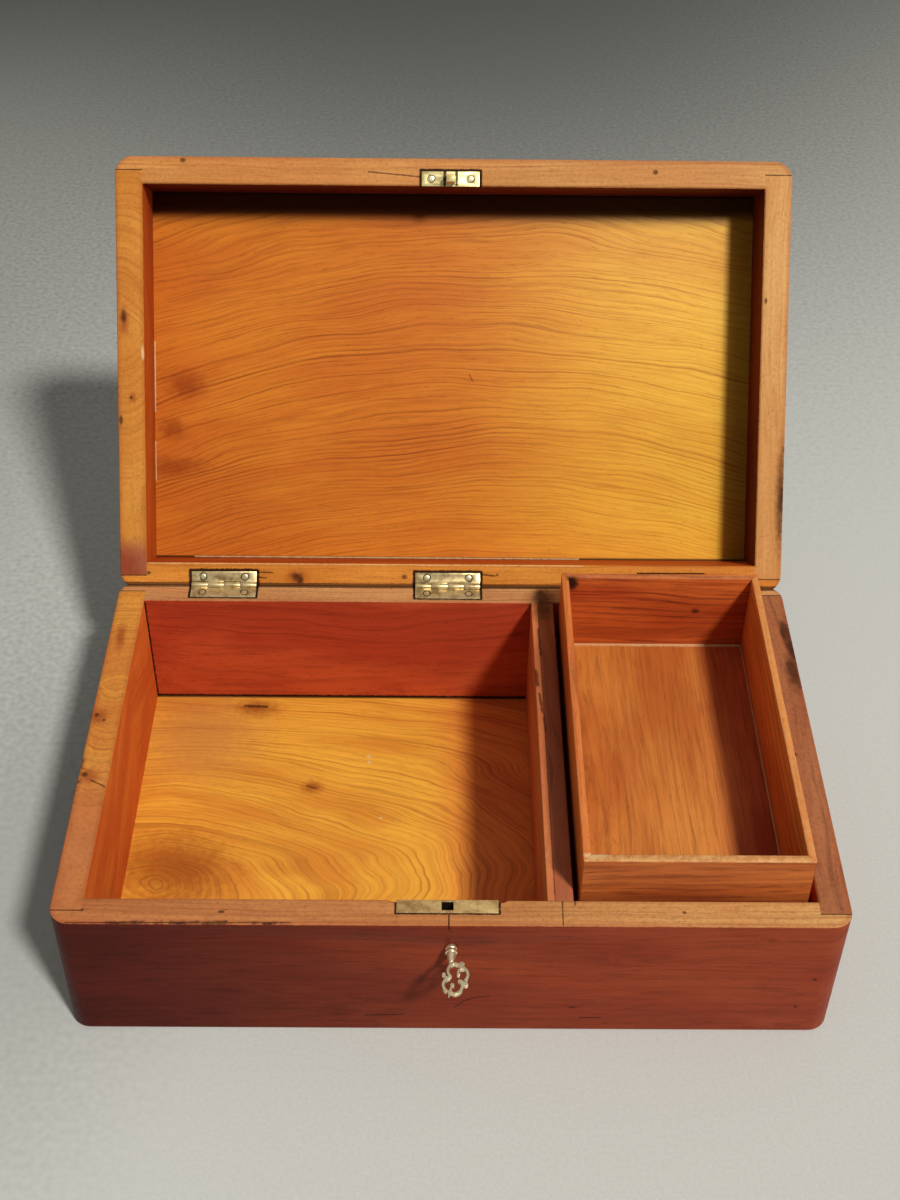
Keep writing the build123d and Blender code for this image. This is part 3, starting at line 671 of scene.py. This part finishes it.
def add_marks(tree, here, colour, faded=(), red=(), dark=(), black=(), pale=()):
    """Lay faded patches, red stains, dark stains and painted shade, black gaps and pale glue or chips over a
    colour.
    """
    kinds = (
        (faded, FADED_WOOD, 0.55),
        (red, RED_STAIN, 0.62),
        (dark, DARK_GRIME_AND_SHADE, 0.75),
        (black, GAP_BLACK, 0.95),
        (pale, PALE_GLUE, 0.7))
    for shapes, paint, strength in kinds:
        if shapes:
            colour = lay(tree, colour, paint, mark_mask(tree, here, shapes), strength)
    return colour


def edge_dirt(tree, zones, here, along, reach):
    """Patches of dirt on a rim's outer arris, closer together within a reach along the board."""
    start, end = reach
    thick = times(tree, fade(tree, along, start - DIRT_FADE, start + DIRT_FADE),
                  near(tree, along, end - DIRT_FADE, end + DIRT_FADE))
    level = calc(tree, "MULTIPLY_ADD", thick, -0.13, 0.60)
    patches = fade(tree, noise(tree, here, 110.0, 6.0, 0.8), level, calc(tree, "ADD", level, 0.12))
    return times(tree, zones["Outer Arris"], patches)


def case_board_material(name, lid, grain, seed, rim, rim_far=None, sweep=(-HALF_WIDTH, HALF_WIDTH),
                        inside=WELL_RED, dirty_edge=(0.0, 0.0), figure=None, **marked):
    """A board with three finishes: dark stained outside, bare rim and oiled inside."""
    material, tree, shader, coordinates = start_material(name)
    here = shut_case(tree, coordinates, lid)
    x, y, z = parts_of(tree, here)
    grown = wood_figure(tree, here, grain, seed, **(figure or {}))
    level = LID_RIM if lid else RIM
    zones = use(tree, CASE_ZONES, {"Vector": here, "Rim Height": level})
    stains = use(tree, OLD_STAINS, {"Vector": here, "Size": 22.0, "Amount": 0.35})
    inner = figure_colour(tree, grown, inside, rings=0.5, fibre=0.4)
    along = y if grain == "y" else x
    bare = swept_colour(tree, grown, along, rim, rim_far, sweep, rings=0.6, fibre=0.5)
    bare = lay(tree, bare, rim[1], fade(tree, noise(tree, here, 620.0, 6.0, 0.78), 0.44, 0.68), 0.4)
    bare = lay(tree, bare, rim[1], stains["Blotch"], 0.5)
    bare = lay(tree, bare, rim[1], zones["Inner Arris"], 0.3)
    bare = lay(tree, bare, OUTSIDE_LIT_RIGHT[0], zones["Outer Arris"], 0.35)
    bare = lay(tree, bare, ARRIS_DIRT, edge_dirt(tree, zones, here, along, dirty_edge), 0.85)
    bare = lay(tree, bare, GAP_BLACK, zones["Seam"], 0.8)
    colour = blend(tree, zones["Rim"], inner, bare)
    outside = zones["Outside"]
    if lid:
        outside = calc(tree, "MAXIMUM", outside, fade(tree, z, *TOP_STAIN_EDGE))
    colour = blend(tree, outside, colour, outside_colour(tree, here, grown))
    colour = lay(tree, colour, DARK_GRIME_AND_SHADE, stains["Specks"], 0.45)
    colour = add_marks(tree, here, colour, **marked)
    rough = calc(tree, "MULTIPLY_ADD", zones["Outside"], -0.14, 0.52)
    finish_wood(tree, shader, colour, grown, stains, rough, 0.08, 0.00014)
    return material


def paint_panel_shade(tree, colour, x, y, strength):
    """Painted shade in the corners of a panel, where the boards along its right side and its front cast
    shadow, and a dark gap at both ends.
    """
    at_side = near(tree, minus(tree, INNER_RIGHT, x), *SIDE_SHADE_EDGE)
    at_front = near(tree, calc(tree, "ADD", INNER_BACK, y), *FRONT_SHADE_EDGE)
    shade_mask = calc(tree, "MAXIMUM", times(tree, at_side, 0.5), at_front)
    colour = lay(tree, colour, PAINTED_EDGE_SHADE, shade_mask, strength)
    to_end = minus(tree, INNER_BACK, calc(tree, "ABSOLUTE", y))
    return lay(tree, colour, DARK_GRIME_AND_SHADE, near(tree, to_end, *END_GAP_EDGE), 0.9)


def worn_arris(tree, colour, here, z, top, strength):
    """The pale, rubbed arris along the top of a board."""
    at_top = fade(tree, z, top - 1.2 * MM, top - 0.2 * MM)
    rag = fade(tree, noise(tree, here, 260.0, 6.0, 0.8), 0.40, 0.62)
    rag = calc(tree, "MULTIPLY_ADD", rag, 0.55, 0.45)
    return lay(tree, colour, WORN_ARRIS, times(tree, at_top, rag), strength)


def plain_board_material(name, left, grain, seed, lid=False, right=None, reach=(-HALF_WIDTH, HALF_WIDTH),
                         gloss=0.42, shine=0.2, rings=0.85, fibre=0.45, bands=0.9, corner_shade=0.0,
                         worn_top=None, outside_above=None, figure=None, **marked):
    """A board with one finish, such as a panel, a floor or the tray."""
    material, tree, shader, coordinates = start_material(name)
    here = shut_case(tree, coordinates, lid)
    x, y, z = parts_of(tree, here)
    grown = wood_figure(tree, here, grain, seed, **(figure or {}))
    stains = use(tree, OLD_STAINS, {"Vector": here, "Size": 14.0, "Amount": 0.3})
    colour = swept_colour(tree, grown, x, left, right, reach, rings=rings, fibre=fibre, bands=bands)
    colour = lay(tree, colour, left[1], stains["Blotch"], 0.3)
    colour = lay(tree, colour, DARK_GRIME_AND_SHADE, stains["Specks"], 0.3)
    # Painted shade in the panel's corners where the boards cast shadow, with dark gaps at its ends
    if corner_shade:
        colour = paint_panel_shade(tree, colour, x, y, corner_shade)
    if worn_top:
        colour = worn_arris(tree, colour, here, z, *worn_top)
    if outside_above:
        outside = fade(tree, z, outside_above, outside_above + 0.8 * MM)
        colour = blend(tree, outside, colour, outside_colour(tree, here, grown))
    colour = add_marks(tree, here, colour, **marked)
    finish_wood(tree, shader, colour, grown, stains, gloss, shine, 0.0001)
    return material


def brass_material(name, bright, dull, rough=0.3, metal=0.75, edge_shade=0.3, lid=False, nails=(), **marked):
    """Old brass with painted shade where its surface turns away from the view, with tarnish, rubbed lines and
    dark rings round the nails.
    """
    material, tree, shader, coordinates = start_material(name)
    age = use(tree, BRASS_AGE, {"Vector": coordinates})
    colour = blend(tree, fade(tree, age["Tarnish"], 0.40, 0.66), bright, dull)
    colour = lay(tree, colour, BRASS_SPOTS, age["Spots"], 0.5)
    here = shut_case(tree, coordinates, lid)
    facing = add(tree, "ShaderNodeLayerWeight", {"Blend": 0.5}).outputs["Facing"]
    colour = lay(tree, colour, BRASS_EDGE_SHADE, fade(tree, facing, 0.45, 0.9), edge_shade)
    for nail in nails:
        size = (NAIL_RING, NAIL_RING, NAIL_RING)
        away = use(tree, ROUND_MARK, {"Vector": here, "Centre": nail, "Size": size})["Distance"]
        ring = minus(tree, fade(tree, away, 0.72, 0.92), fade(tree, away, 1.1, 1.4))
        colour = lay(tree, colour, GAP_BLACK, ring, 0.85)
    colour = add_marks(tree, here, colour, **marked)
    tree.links.new(colour, shader.inputs["Base Color"])
    shader.inputs["Metallic"].default_value = metal
    tarnish = calc(tree, "MULTIPLY_ADD", age["Tarnish"], 0.3, rough)
    tree.links.new(tarnish, shader.inputs["Roughness"])
    height = times(tree, calc(tree, "ADD", age["Rubbing"], age["Tarnish"]), 0.5)
    bump = add(tree, "ShaderNodeBump", {"Strength": 0.5, "Distance": 0.00006, "Height": height})
    tree.links.new(bump.outputs[0], shader.inputs["Normal"])
    return material


def steel_material(name):
    """Dull dark iron for what is hidden in the lock."""
    material, tree, shader, coordinates = start_material(name)
    age = use(tree, BRASS_AGE, {"Vector": coordinates})
    colour = blend(tree, fade(tree, age["Tarnish"], 0.4, 0.7), tone(120, 116, 108), tone(84, 64, 48))
    tree.links.new(colour, shader.inputs["Base Color"])
    shader.inputs["Metallic"].default_value = 0.85
    shader.inputs["Roughness"].default_value = 0.45
    return material


def dress(piece, material):
    piece.data.materials.clear()
    piece.data.materials.append(material)


# Marks on the boards, in millimetres in the shut case

RIM_MM = RIM / MM
LID_RIM_MM = LID_RIM / MM
PANEL_MM = 95.1
FLOOR_MM = 6.6
MORTISE_PLAY = 0.4
LINK_PLATE_Y = -87.2
HINGE_SIDES = ("left", "centre", "right")
HINGE_X = [sum(corner.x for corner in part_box("base_hinge_leaf_" + side)) / 2 / MM for side in HINGE_SIDES]


def around(node, gap):
    """The dark gap round a plate in the base."""
    low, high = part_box(node)
    centre = (low + high) / 2 / MM
    half = (high - low) / 2 / MM + Vector((MORTISE_PLAY, MORTISE_PLAY, 0.0))
    return ("plate", tuple(centre), tuple(half), gap)


def round_lid_leaf(x, gap):
    """The dark gap round one lid leaf."""
    low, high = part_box("base_hinge_leaf_left")
    half_length = (high.x - low.x) / 2 / MM + MORTISE_PLAY
    return ("plate", (x, 91.2, LID_RIM_MM), (half_length, 3.6, 0.8), gap)


def hinge_gap_shade(level):
    """Painted shade of the gap between lid and base along the hinge side, laid on one rim."""
    return ("plate", (0.0, 95.5, level), (151.0, 2.2, 1.2), 0.4)


def crack(width, *places):
    """A line through several places."""
    return [("line", start, end, width) for start, end in zip(places, places[1:])]


def at_level(level, **kinds):
    """Marks with their places in plan put at one height. A place that has its own height keeps it."""
    def lifted(values):
        return (*values, level) if len(values) == 2 else values
    return {kind: [(shape, lifted(first), lifted(second), *width) for shape, first, second, *width in marks]
            for kind, marks in kinds.items()}


FRONT_SMEARS = ((-143, -60, 0.42), (-124, -117, 0.75), (-101, -94, 0.9), (-92, -84, 1.25), (-70, -65, 0.7))
WELL_CORNER = ("line", (-138, 84, 7), (-138, 84, RIM_MM - 2), 0.9)
WELL_FOOT = ("line", (-138, 84, 7), (36, 84, 6.8), 1.3)
FRONT_MARKS = at_level(
    RIM_MM,
    dark=[*crack(0.45, (41.6, -84), (41.4, -96)),
          *crack(0.5, (46.4, -83), (46.3, -86.2)),
          *crack(0.45, (1.9, -96, 15.8), (5.3, -96, 19.8), (8.8, -96, 21.8), (15.4, -96, 23.2)),
          *crack(0.6, (-33.4, -96, 10.1), (-18.9, -96, 10.6)),
          *crack(0.5, (51.1, -96, 9), (59, -96, 9.2)),
          *(("line", (start, -95.7), (end, -95.2), width) for start, end, width in FRONT_SMEARS),
          ("spot", (139.6, -95, 35), (1.5, 3, 1.5)),
          ("spot", (134.9, -95.5, 17.2), (1, 3, 1.2)),
          ("spot", (47.8, -96, 15.9), (2.4, 2, 1)),
          ("spot", (-85.8, -90.3), (1.8, 1, 1.5)),
          ("spot", (-138, -89.7), (1.2, 1, 1.5)),
          ("spot", (86.9, -89.6), (1, 1, 1.5))],
    black=[around("lock_face_plate", 0.6),
           ("line", (-1, -90), (-1, -96), 0.45),
           ("line", (-1, -96), (-1, -96, RIM_MM - 3), 0.4)])
BACK_MARKS = at_level(
    RIM_MM,
    dark=[hinge_gap_shade(RIM_MM),
          ("spot", (40.5, 88), (6, 6, 3)),
          ("soft", (41, 86), (9, 9, 4))],
    black=[WELL_CORNER, WELL_FOOT, *(around("base_hinge_leaf_" + side, 0.85) for side in HINGE_SIDES)])
LEFT_MARKS = at_level(
    RIM_MM,
    red=[("soft", (-147, 11), (5, 7, 3)),
         ("soft", (-146, -23), (7, 6, 3)),
         ("soft", (-145, 60), (3, 12, 3))],
    dark=[("spot", (-147.8, 11.6), (1.4, 1.8, 2)),
          ("spot", (-144.4, 8.7), (1.1, 1.1, 1.6)),
          ("spot", (-147.6, -22), (1.8, 2, 2)),
          ("line", (-144.5, -25), (-138.4, -28.5), 0.6)],
    black=[WELL_CORNER])
RIGHT_MARKS = at_level(
    RIM_MM,
    dark=[("spot", (141, -8.4), (1, 1.2, 1.4)),
          ("spot", (138.9, -12), (0.9, 1, 1.4)),
          ("soft", (147.6, 40), (4, 16, 2)),
          ("soft", (148.6, 58), (3, 20, 2)),
          ("spot", (147.2, 66), (2.4, 10, 2)),
          ("spot", (147, 42), (3.2, 9, 2))])
LID_FRONT_MARKS = at_level(
    LID_RIM_MM,
    dark=[("spot", (-119.9, -94.3), (2, 1.4, 1.6)),
          ("spot", (89.3, -90.8), (1.5, 1.4, 1.4)),
          ("line", (-15, -88), (-38, -90), 0.5)],
    black=[("plate", (HINGE_X[1], LINK_PLATE_Y, LID_RIM_MM + 0.6), (13.2, 3.6, 0.8), 1)])
LID_BACK_MARKS = at_level(
    LID_RIM_MM,
    dark=[hinge_gap_shade(LID_RIM_MM),
          ("spot", (-69.9, 90.3), (3.6, 3, 3)),
          ("spot", (-68.5, 91.6), (2.2, 3.4, 3)),
          ("spot", (-137, 88.9), (1.4, 1.2, 1.2)),
          ("spot", (-21, 89.9), (1.8, 1.6, 1.6)),
          ("spot", (21, 88.8), (0.9, 0.9, 0.9)),
          *crack(0.6, (HINGE_X[1] + 15, 88.6), (20, 89.2)),
          *crack(0.6, (HINGE_X[0] + 15, 88.2), (HINGE_X[0] + 22, 88.4)),
          *crack(0.6, (HINGE_X[0] + 15, 90.6), (HINGE_X[0] + 19, 90.8))],
    red=[("soft", (-69.5, 90.5), (7, 5, 3))],
    black=[round_lid_leaf(x, gap) for x, gap in zip(HINGE_X, (1.2, 1.1, 0.5))],
    pale=[("line", (-137, 84.3), (60, 84.3), 0.5)])
LID_LEFT_MARKS = at_level(
    LID_RIM_MM,
    dark=[("spot", (-147, -26), (1.8, 4.4, 2)),
          ("spot", (-144.1, 10), (1, 1.2, 1)),
          ("spot", (-148.7, 20), (1.2, 3, 1.5))],
    red=[("soft", (-146.8, -24), (3, 9, 3)),
         ("soft", (-143.4, 10), (2.4, 3, 3)),
         ("soft", (-146, 86), (9, 14, 4))],
    pale=[("spot", (-138.6, -9.5), (1, 4.5, 1.5))])
LID_RIGHT_MARKS = at_level(
    LID_RIM_MM,
    dark=[("soft", (148.6, 52), (3, 30, 2)),
          ("spot", (139.6, -35), (1, 2, 1.2))])
PANEL_MARKS = at_level(
    PANEL_MM,
    red=[("soft", (-123, 4), (12, 9, 6)),
         ("soft", (-130, 42), (20, 7, 6)),
         ("soft", (-130, 24), (9, 7, 6)),
         ("line", (8, -2), (9.6, 1), 0.5)],
    pale=[("line", (-137.7, -16), (-137.8, 16), 0.5),
          ("line", (-137.9, 30), (-137.9, 48), 0.5),
          ("line", (-120, 83.5), (60, 83.6), 0.4)])
FLOOR_MARKS = at_level(
    FLOOR_MM,
    faded=[("soft", (-114, 58), (40, 38, 8))],
    red=[("soft", (-90, 76), (15, 8, 4)),
         ("soft", (-61.7, 26.8), (7, 5, 3)),
         ("soft", (-118, -20), (34, 26, 6))],
    dark=[("line", (-96, 77.5), (-86, 77), 1.3),
          ("line", (-64, 27.5), (-60, 26), 0.6)],
    pale=[("spot", (-36.8, 45.3), (1.5, 1.3, 1.3)),
          ("spot", (-36.5, 42), (1.3, 1.2, 1.2)),
          ("spot", (-30.3, 8.8), (0.8, 0.8, 0.8))])
DIVIDER_MARKS = at_level(
    RIM_MM,
    dark=[*crack(1.1, (36.4, 40), (36.9, 31)),
          *crack(0.8, (37.4, 26), (38.3, 15)),
          *crack(0.8, (38.9, 12), (39.2, 4)),
          *crack(0.9, (38.6, 66), (39, 50)),
          *crack(0.45, (39, -84), (39, 84)),
          ("soft", (41, 80), (7, 12, 3))])


# Case

def make_case_board(name, grain, seed, rim, **options):
    """One board of the case, rounded at its arrises and given its own wood."""
    lid = name.startswith("lid")
    piece = softened(name, ARRIS, "lid" if lid else "base", "case_wood")
    dress(piece, case_board_material("Wood of " + name, lid, grain, seed, rim, **options))


def make_base_boards():
    make_case_board(
        "base_front_board", "x", 1.3, FRONT_RIM, rim_far=FRONT_RIM_RIGHT, dirty_edge=(-0.143, -0.06),
        figure=dict(heart=(0.03, -0.02)), **FRONT_MARKS)
    make_case_board("base_back_board", "x", 4.1, BACK_RIM, figure=dict(heart=(-0.05, 0.01)), **BACK_MARKS)
    make_case_board(
        "base_left_board", "y", 7.7, FRONT_RIM, rim_far=LEFT_RIM, sweep=(-0.06, 0.0), inside=WELL_ORANGE,
        dirty_edge=(-0.03, -0.01),
        figure=dict(spacing=0.0018, heart=(-0.143, 0.055), crest=0.03, sink=0.03, sink_length=0.07),
        **LEFT_MARKS)
    make_case_board(
        "base_right_board", "y", 9.2, RIGHT_RIM, dirty_edge=(0.028, 0.078),
        figure=dict(spacing=0.0016, heart=(0.11, -0.03)), **RIGHT_MARKS)


def make_lid_boards():
    # Its inside is painted dark as shade
    make_case_board(
        "lid_front_board", "x", 12.6, LID_TOP_RIM, rim_far=FRONT_RIM_RIGHT, inside=LID_INSIDE_SHADED,
        figure=dict(heart=(0.02, 0.02)), **LID_FRONT_MARKS)
    make_case_board(
        "lid_back_board", "x", 15.9, LID_LOW_RIM, inside=LID_INSIDE,
        figure=dict(heart=(-0.02, 0.02)), **LID_BACK_MARKS)
    make_case_board(
        "lid_left_board", "y", 18.4, LID_LEFT_RIM, rim_far=LID_LEFT_LOW, sweep=(0.070, 0.082),
        inside=LID_INSIDE,
        figure=dict(heart=(-0.15, 0.05), crest=-0.02, sink=0.03, sink_length=0.07), **LID_LEFT_MARKS)
    # Its inside is painted dark as shade
    make_case_board(
        "lid_right_board", "y", 21.5, LID_RIGHT_RIM, inside=LID_INSIDE_SHADED, dirty_edge=(0.025, 0.08),
        figure=dict(spacing=0.0016, heart=(0.12, 0.03)), **LID_RIGHT_MARKS)


def make_panels():
    """The lid's top and the base's bottom."""
    top = softened("lid_top_panel", ARRIS, "lid", "panel_wood")
    # Painted shade darkens the lid panel strongly along its front and more lightly along its right side
    dress(top, plain_board_material(
        "Lid panel wood", PANEL_LEFT, "x", 3.3, lid=True, right=PANEL_RIGHT, reach=(-0.02, 0.13), gloss=0.38,
        shine=0.1, rings=0.75, fibre=0.5, bands=0.55, corner_shade=0.95, outside_above=LID_TOP - 4 * MM,
        figure=dict(spacing=0.0021, wander=0.0055, heart=(-0.12, 0.15), crest=0.02, arch=-1.0),
        **PANEL_MARKS))
    bottom = softened("base_bottom_panel", ARRIS, "base", "panel_wood")
    # The well floor's darker red toward the divider is painted shadow, and it carries painted shade along its
    # front edge
    dress(bottom, plain_board_material(
        "Well floor wood", FLOOR_GOLD, "x", 5.2, right=FLOOR_SHADOW_RED, reach=(-0.016, 0.020), gloss=0.4,
        shine=0.14, rings=0.72, fibre=0.5, corner_shade=0.25,
        figure=dict(spacing=0.0022, wander=0.0075, heart=(-0.029, 0.002), crest=-0.124, sink=0.085,
                    sink_length=0.18),
        **FLOOR_MARKS))


def make_divider():
    """The board between well and tray, the batten beside it and the bearers under the tray."""
    boards = (
        ("divider_board", "Divider wood", DIVIDER, 25.1, (0.05, -0.03)),
        ("divider_batten", "Batten wood", BATTEN, 28.8, (0.02, -0.03)))
    for name, wood_name, finish, seed, heart in boards:
        board = softened(name, TRAY_ARRIS, "base", "case_wood")
        dress(board, plain_board_material(
            wood_name, finish, "y", seed, gloss=0.5, figure=dict(spacing=0.0014, heart=heart),
            **DIVIDER_MARKS))
    for side in ("left", "right"):
        bearer = softened("tray_bearer_" + side, TRAY_ARRIS, "base", "case_wood")
        dress(bearer, plain_board_material("Bearer wood " + side, TRAY_RED, "y", 31.0))


# Tray

TRAY_LOW, TRAY_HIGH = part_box("tray_bottom_panel")
TRAY_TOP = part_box("tray_front_board")[1].z
TRAY_FLOOR_MM = TRAY_HIGH.z / MM


def make_tray_boards():
    """The tray's four sides, with a broken corner, a knot and glue at the front left mitre."""
    left, front = TRAY_LOW.x / MM, TRAY_LOW.y / MM
    back = TRAY_HIGH.y / MM
    broken_corner = ("spot", (left + 1.6, back - 0.6, TRAY_TOP / MM - 3.0), (4.0, 3.0, 6.0))
    knot = ("spot", (109.0, back, 69.0), (2.4, 2.0, 2.0))
    corner_glue = ("spot", (left + 1.0, front - 0.6, TRAY_TOP / MM), (6.0, 2.0, 1.6))
    # The side boards take the paler tone as painted light
    sides = (
        ("front", "x", TRAY_FRONT, 1.0, 33.0, dict(pale=[corner_glue])),
        ("back", "x", TRAY_RED, 0.3, 35.3, dict(dark=[knot], black=[broken_corner])),
        ("left", "y", TRAY_SIDE_LIT, 0.15, 37.6, dict(black=[broken_corner], pale=[corner_glue])),
        ("right", "y", TRAY_SIDE_LIT, 0.6, 39.9, dict()))
    for side, grain, finish, wear, seed, marked in sides:
        board = softened("tray_" + side + "_board", TRAY_ARRIS, "tray", "tray_wood")
        dress(board, plain_board_material(
            "Tray wood " + side, finish, grain, seed, gloss=0.42, rings=1.0, fibre=0.7,
            worn_top=(TRAY_TOP, wear), figure=dict(spacing=0.0026, heart=(0.02, 0.02)), **marked))


def make_tray_floor():
    """The tray's floor, with pale glue where it meets the boards."""
    left, right, front, back = (value / MM for value in (TRAY_LOW.x, TRAY_HIGH.x, TRAY_LOW.y, TRAY_HIGH.y))
    floor = softened("tray_bottom_panel", TRAY_ARRIS, "tray", "tray_wood")
    glue = [("line", (left, back - 0.4, TRAY_FLOOR_MM), (right, back - 0.4, TRAY_FLOOR_MM), 2.0),
            ("line", (left + 0.2, 20.0, TRAY_FLOOR_MM), (left + 0.2, back, TRAY_FLOOR_MM), 0.8),
            ("line", (right - 0.2, front, TRAY_FLOOR_MM), (right - 0.2, back, TRAY_FLOOR_MM), 0.6)]
    # The tray floor's darker red at the right is painted shadow
    dress(floor, plain_board_material(
        "Tray floor wood", TRAY_FLOOR, "y", 44.0, right=TRAY_FLOOR_SHADOW_RED, reach=(0.100, 0.126), gloss=0.45,
        rings=0.4, fibre=0.6, pale=glue, figure=dict(spacing=0.0016, wander=0.0015, heart=(0.05, 0.0))))


# Metal

OLD_BRASS_TONES = (tone(232, 210, 156), tone(172, 144, 96))
LEAF_NAIL_SPREAD = 9.5 * MM
BASE_NAIL_Y = 89.6 * MM
LID_NAIL_Y = 90.4 * MM
LINK_SCREW_SPREAD = 8.7
LINK_SLOT_X = 2.6


def leaf_brass(name, lid):
    """Brass with its nails ringed, for all the leaves of one body."""
    y = LID_NAIL_Y if lid else BASE_NAIL_Y
    level = LID_RIM if lid else RIM
    nails = [(x * MM + side * LEAF_NAIL_SPREAD, y, level) for x in HINGE_X for side in (-1, 1)]
    return brass_material(name, *OLD_BRASS_TONES, rough=0.26, lid=lid, nails=nails)


def link_brass():
    """Brass with its screws ringed, and the slots on both sides of the hook."""
    middle = HINGE_X[1]
    screws = [((middle + side * LINK_SCREW_SPREAD) * MM, LINK_PLATE_Y * MM, LID_RIM) for side in (-1, 1)]
    slots = []
    for x in (middle - LINK_SLOT_X, middle + LINK_SLOT_X):
        slots.append(("line", (x, LINK_PLATE_Y - 3.2, LID_RIM_MM), (x, LINK_PLATE_Y + 2.6, LID_RIM_MM), 1.0))
    return brass_material("Link brass", tone(240, 224, 160), tone(196, 172, 112), 0.28, lid=True,
                          nails=screws, black=slots)


def face_brass():
    """Brass with black painted shade inside the hole for the hook."""
    hole = ("plate", (HINGE_X[1], LINK_PLATE_Y, 62.0), (2.4, 3.4, 4.4), 0.2)
    return brass_material("Plate brass", tone(238, 204, 140), tone(190, 150, 94), 0.42, black=[hole])


def pale_brass():
    """Clean cast brass of the key and the small fasteners."""
    # With strong painted shade where the surface turns away from the view
    return brass_material("Pale brass", tone(255, 240, 200), tone(232, 206, 156), rough=0.17, metal=0.85,
                          edge_shade=0.9)


def make_hinges():
    leaf_metals = {"base": leaf_brass("Base leaf brass", False), "lid": leaf_brass("Lid leaf brass", True)}
    pin_brass = brass_material("Old brass", *OLD_BRASS_TONES)
    for side in HINGE_SIDES:
        for body in ("base", "lid"):
            leaf = softened(body + "_hinge_leaf_" + side, BRASS_ARRIS, body, "brass")
            dress(leaf, leaf_metals[body])
        dress(frame["nodes"]["hinge_pin_" + side], pin_brass)
    for body in ("base", "lid"):
        dress(frame["nodes"][body + "_hinge_nails"], PALE_BRASS)


def make_lock():
    dress(softened("lock_face_plate", BRASS_ARRIS, "base", "brass"), face_brass())
    dress(softened("link_plate", BRASS_ARRIS, "lid", "brass"), link_brass())
    dark_iron = steel_material("Dark iron")
    for name in ("lock_case", "lock_bolt", "lock_drill_pin", "lock_screws"):
        dress(frame["nodes"][name], dark_iron)
    dress(frame["nodes"]["link_plate_screws"], PALE_BRASS)


def make_key():
    """The key as a soft casting: its outline filled with a fine grid and smoothed."""
    key = clean_copy("key")
    grid = key.modifiers.new("Casting", "REMESH")
    grid.mode = "VOXEL"
    grid.voxel_size = KEY_GRAIN
    melt = key.modifiers.new("Melt", "SMOOTH")
    melt.factor = 0.5
    melt.iterations = KEY_MELT
    apply_modifiers(key)
    smooth(key, KEY_ANGLE)
    place(key, "key_cast", "key", "brass", "key")
    dress(key, PALE_BRASS)


# Surroundings

FLOOR_SIZE = 8.0
FLOOR_FADE = (0.0, 1.25)
# Painted shadows on the floor, behind and beside the box: centre, size and strength of each
FLOOR_PAINTED_SHADOWS = (
    ((0.04, 0.95, 0.0), (0.5, 0.75, 1.0), 0.6),
    ((-0.45, 0.25, 0.0), (0.35, 0.45, 1.0), 0.45),
    ((-0.19, -0.02, 0.0), (0.10, 0.22, 1.0), 0.3))
LAMP_COLOUR = (1.0, 0.985, 0.95)
SURROUND_COLOUR = (1.0, 0.96, 0.91, 1.0)


def make_floor():
    """A pale floor with painted shade darkening it to the back and painted shadows behind and beside the box.
    """
    deselect()
    bpy.ops.mesh.primitive_plane_add(size=FLOOR_SIZE, location=(0, 0, 0))
    floor = bpy.context.object
    floor.name = "Studio floor"
    material, tree, shader, coordinates = start_material("Grey floor")
    x, y = parts_of(tree, coordinates)[:2]
    # Painted shade: the floor darkens toward the back and the left
    back_left = calc(tree, "MULTIPLY_ADD", x, -0.3, y)
    colour = blend(tree, fade(tree, back_left, *FLOOR_FADE), FLOOR_NEAR, FLOOR_FAR)
    for centre, size, strength in FLOOR_PAINTED_SHADOWS:
        colour = lay(tree, colour, FLOOR_FAR, soft_spot(tree, coordinates, centre, size), strength)
    speck = noise(tree, coordinates, 700.0, 3.0, 0.6)
    colour = lay(tree, colour, FLOOR_FAR, fade(tree, speck, 0.3, 0.7), 0.08)
    tree.links.new(colour, shader.inputs["Base Color"])
    shader.inputs["Roughness"].default_value = 0.85
    dress(floor, material)


def make_light():
    """One soft lamp from the front right, and a surround that is brighter above."""
    bpy.ops.object.light_add(type="SUN", location=tuple(LIGHT_FROM))
    lamp = bpy.context.object
    lamp.name = "Studio light"
    lamp.data.angle = math.radians(LIGHT_SPREAD)
    lamp.data.energy = LIGHT_STRENGTH
    lamp.data.color = LAMP_COLOUR
    lamp.rotation_euler = LIGHT_FROM.to_track_quat("Z", "Y").to_euler()
    world = bpy.data.worlds.new("Soft surround")
    bpy.context.scene.world = world
    world.use_nodes = True
    tree = world.node_tree
    background = tree.nodes["Background"]
    background.inputs[0].default_value = SURROUND_COLOUR
    height = parts_of(tree, add(tree, "ShaderNodeTexCoord").outputs["Generated"])[2]
    above = calc(tree, "MAXIMUM", height, 0.0)
    strength = calc(tree, "MULTIPLY_ADD", above, FILL_HIGH - FILL_LOW, FILL_LOW)
    tree.links.new(strength, background.inputs[1])


def make_camera():
    """The photo's viewpoint, turned about its own axes in the order yaw, pitch, roll."""
    bpy.ops.object.camera_add(location=CAMERA_PLACE)
    camera = bpy.context.object
    pitch, yaw, roll = (math.radians(angle) for angle in (CAMERA_PITCH, CAMERA_YAW, CAMERA_ROLL))
    forward = Vector((math.sin(yaw) * math.cos(pitch), math.cos(yaw) * math.cos(pitch), -math.sin(pitch)))
    level = Vector((math.cos(yaw), -math.sin(yaw), 0))
    upright = level.cross(forward)
    right = math.cos(roll) * level + math.sin(roll) * upright
    up = -math.sin(roll) * level + math.cos(roll) * upright
    camera.rotation_euler = Matrix((right, up, -forward)).transposed().to_euler()
    camera.data.lens = CAMERA_LENS
    camera.data.sensor_width = 36
    bpy.context.scene.camera = camera


PALE_BRASS = pale_brass()
make_base_boards()
make_lid_boards()
make_panels()
make_divider()
make_tray_boards()
make_tray_floor()
make_hinges()
make_lock()
make_key()
make_floor()
make_light()
make_camera()
bpy.context.scene.view_settings.view_transform = "Standard"
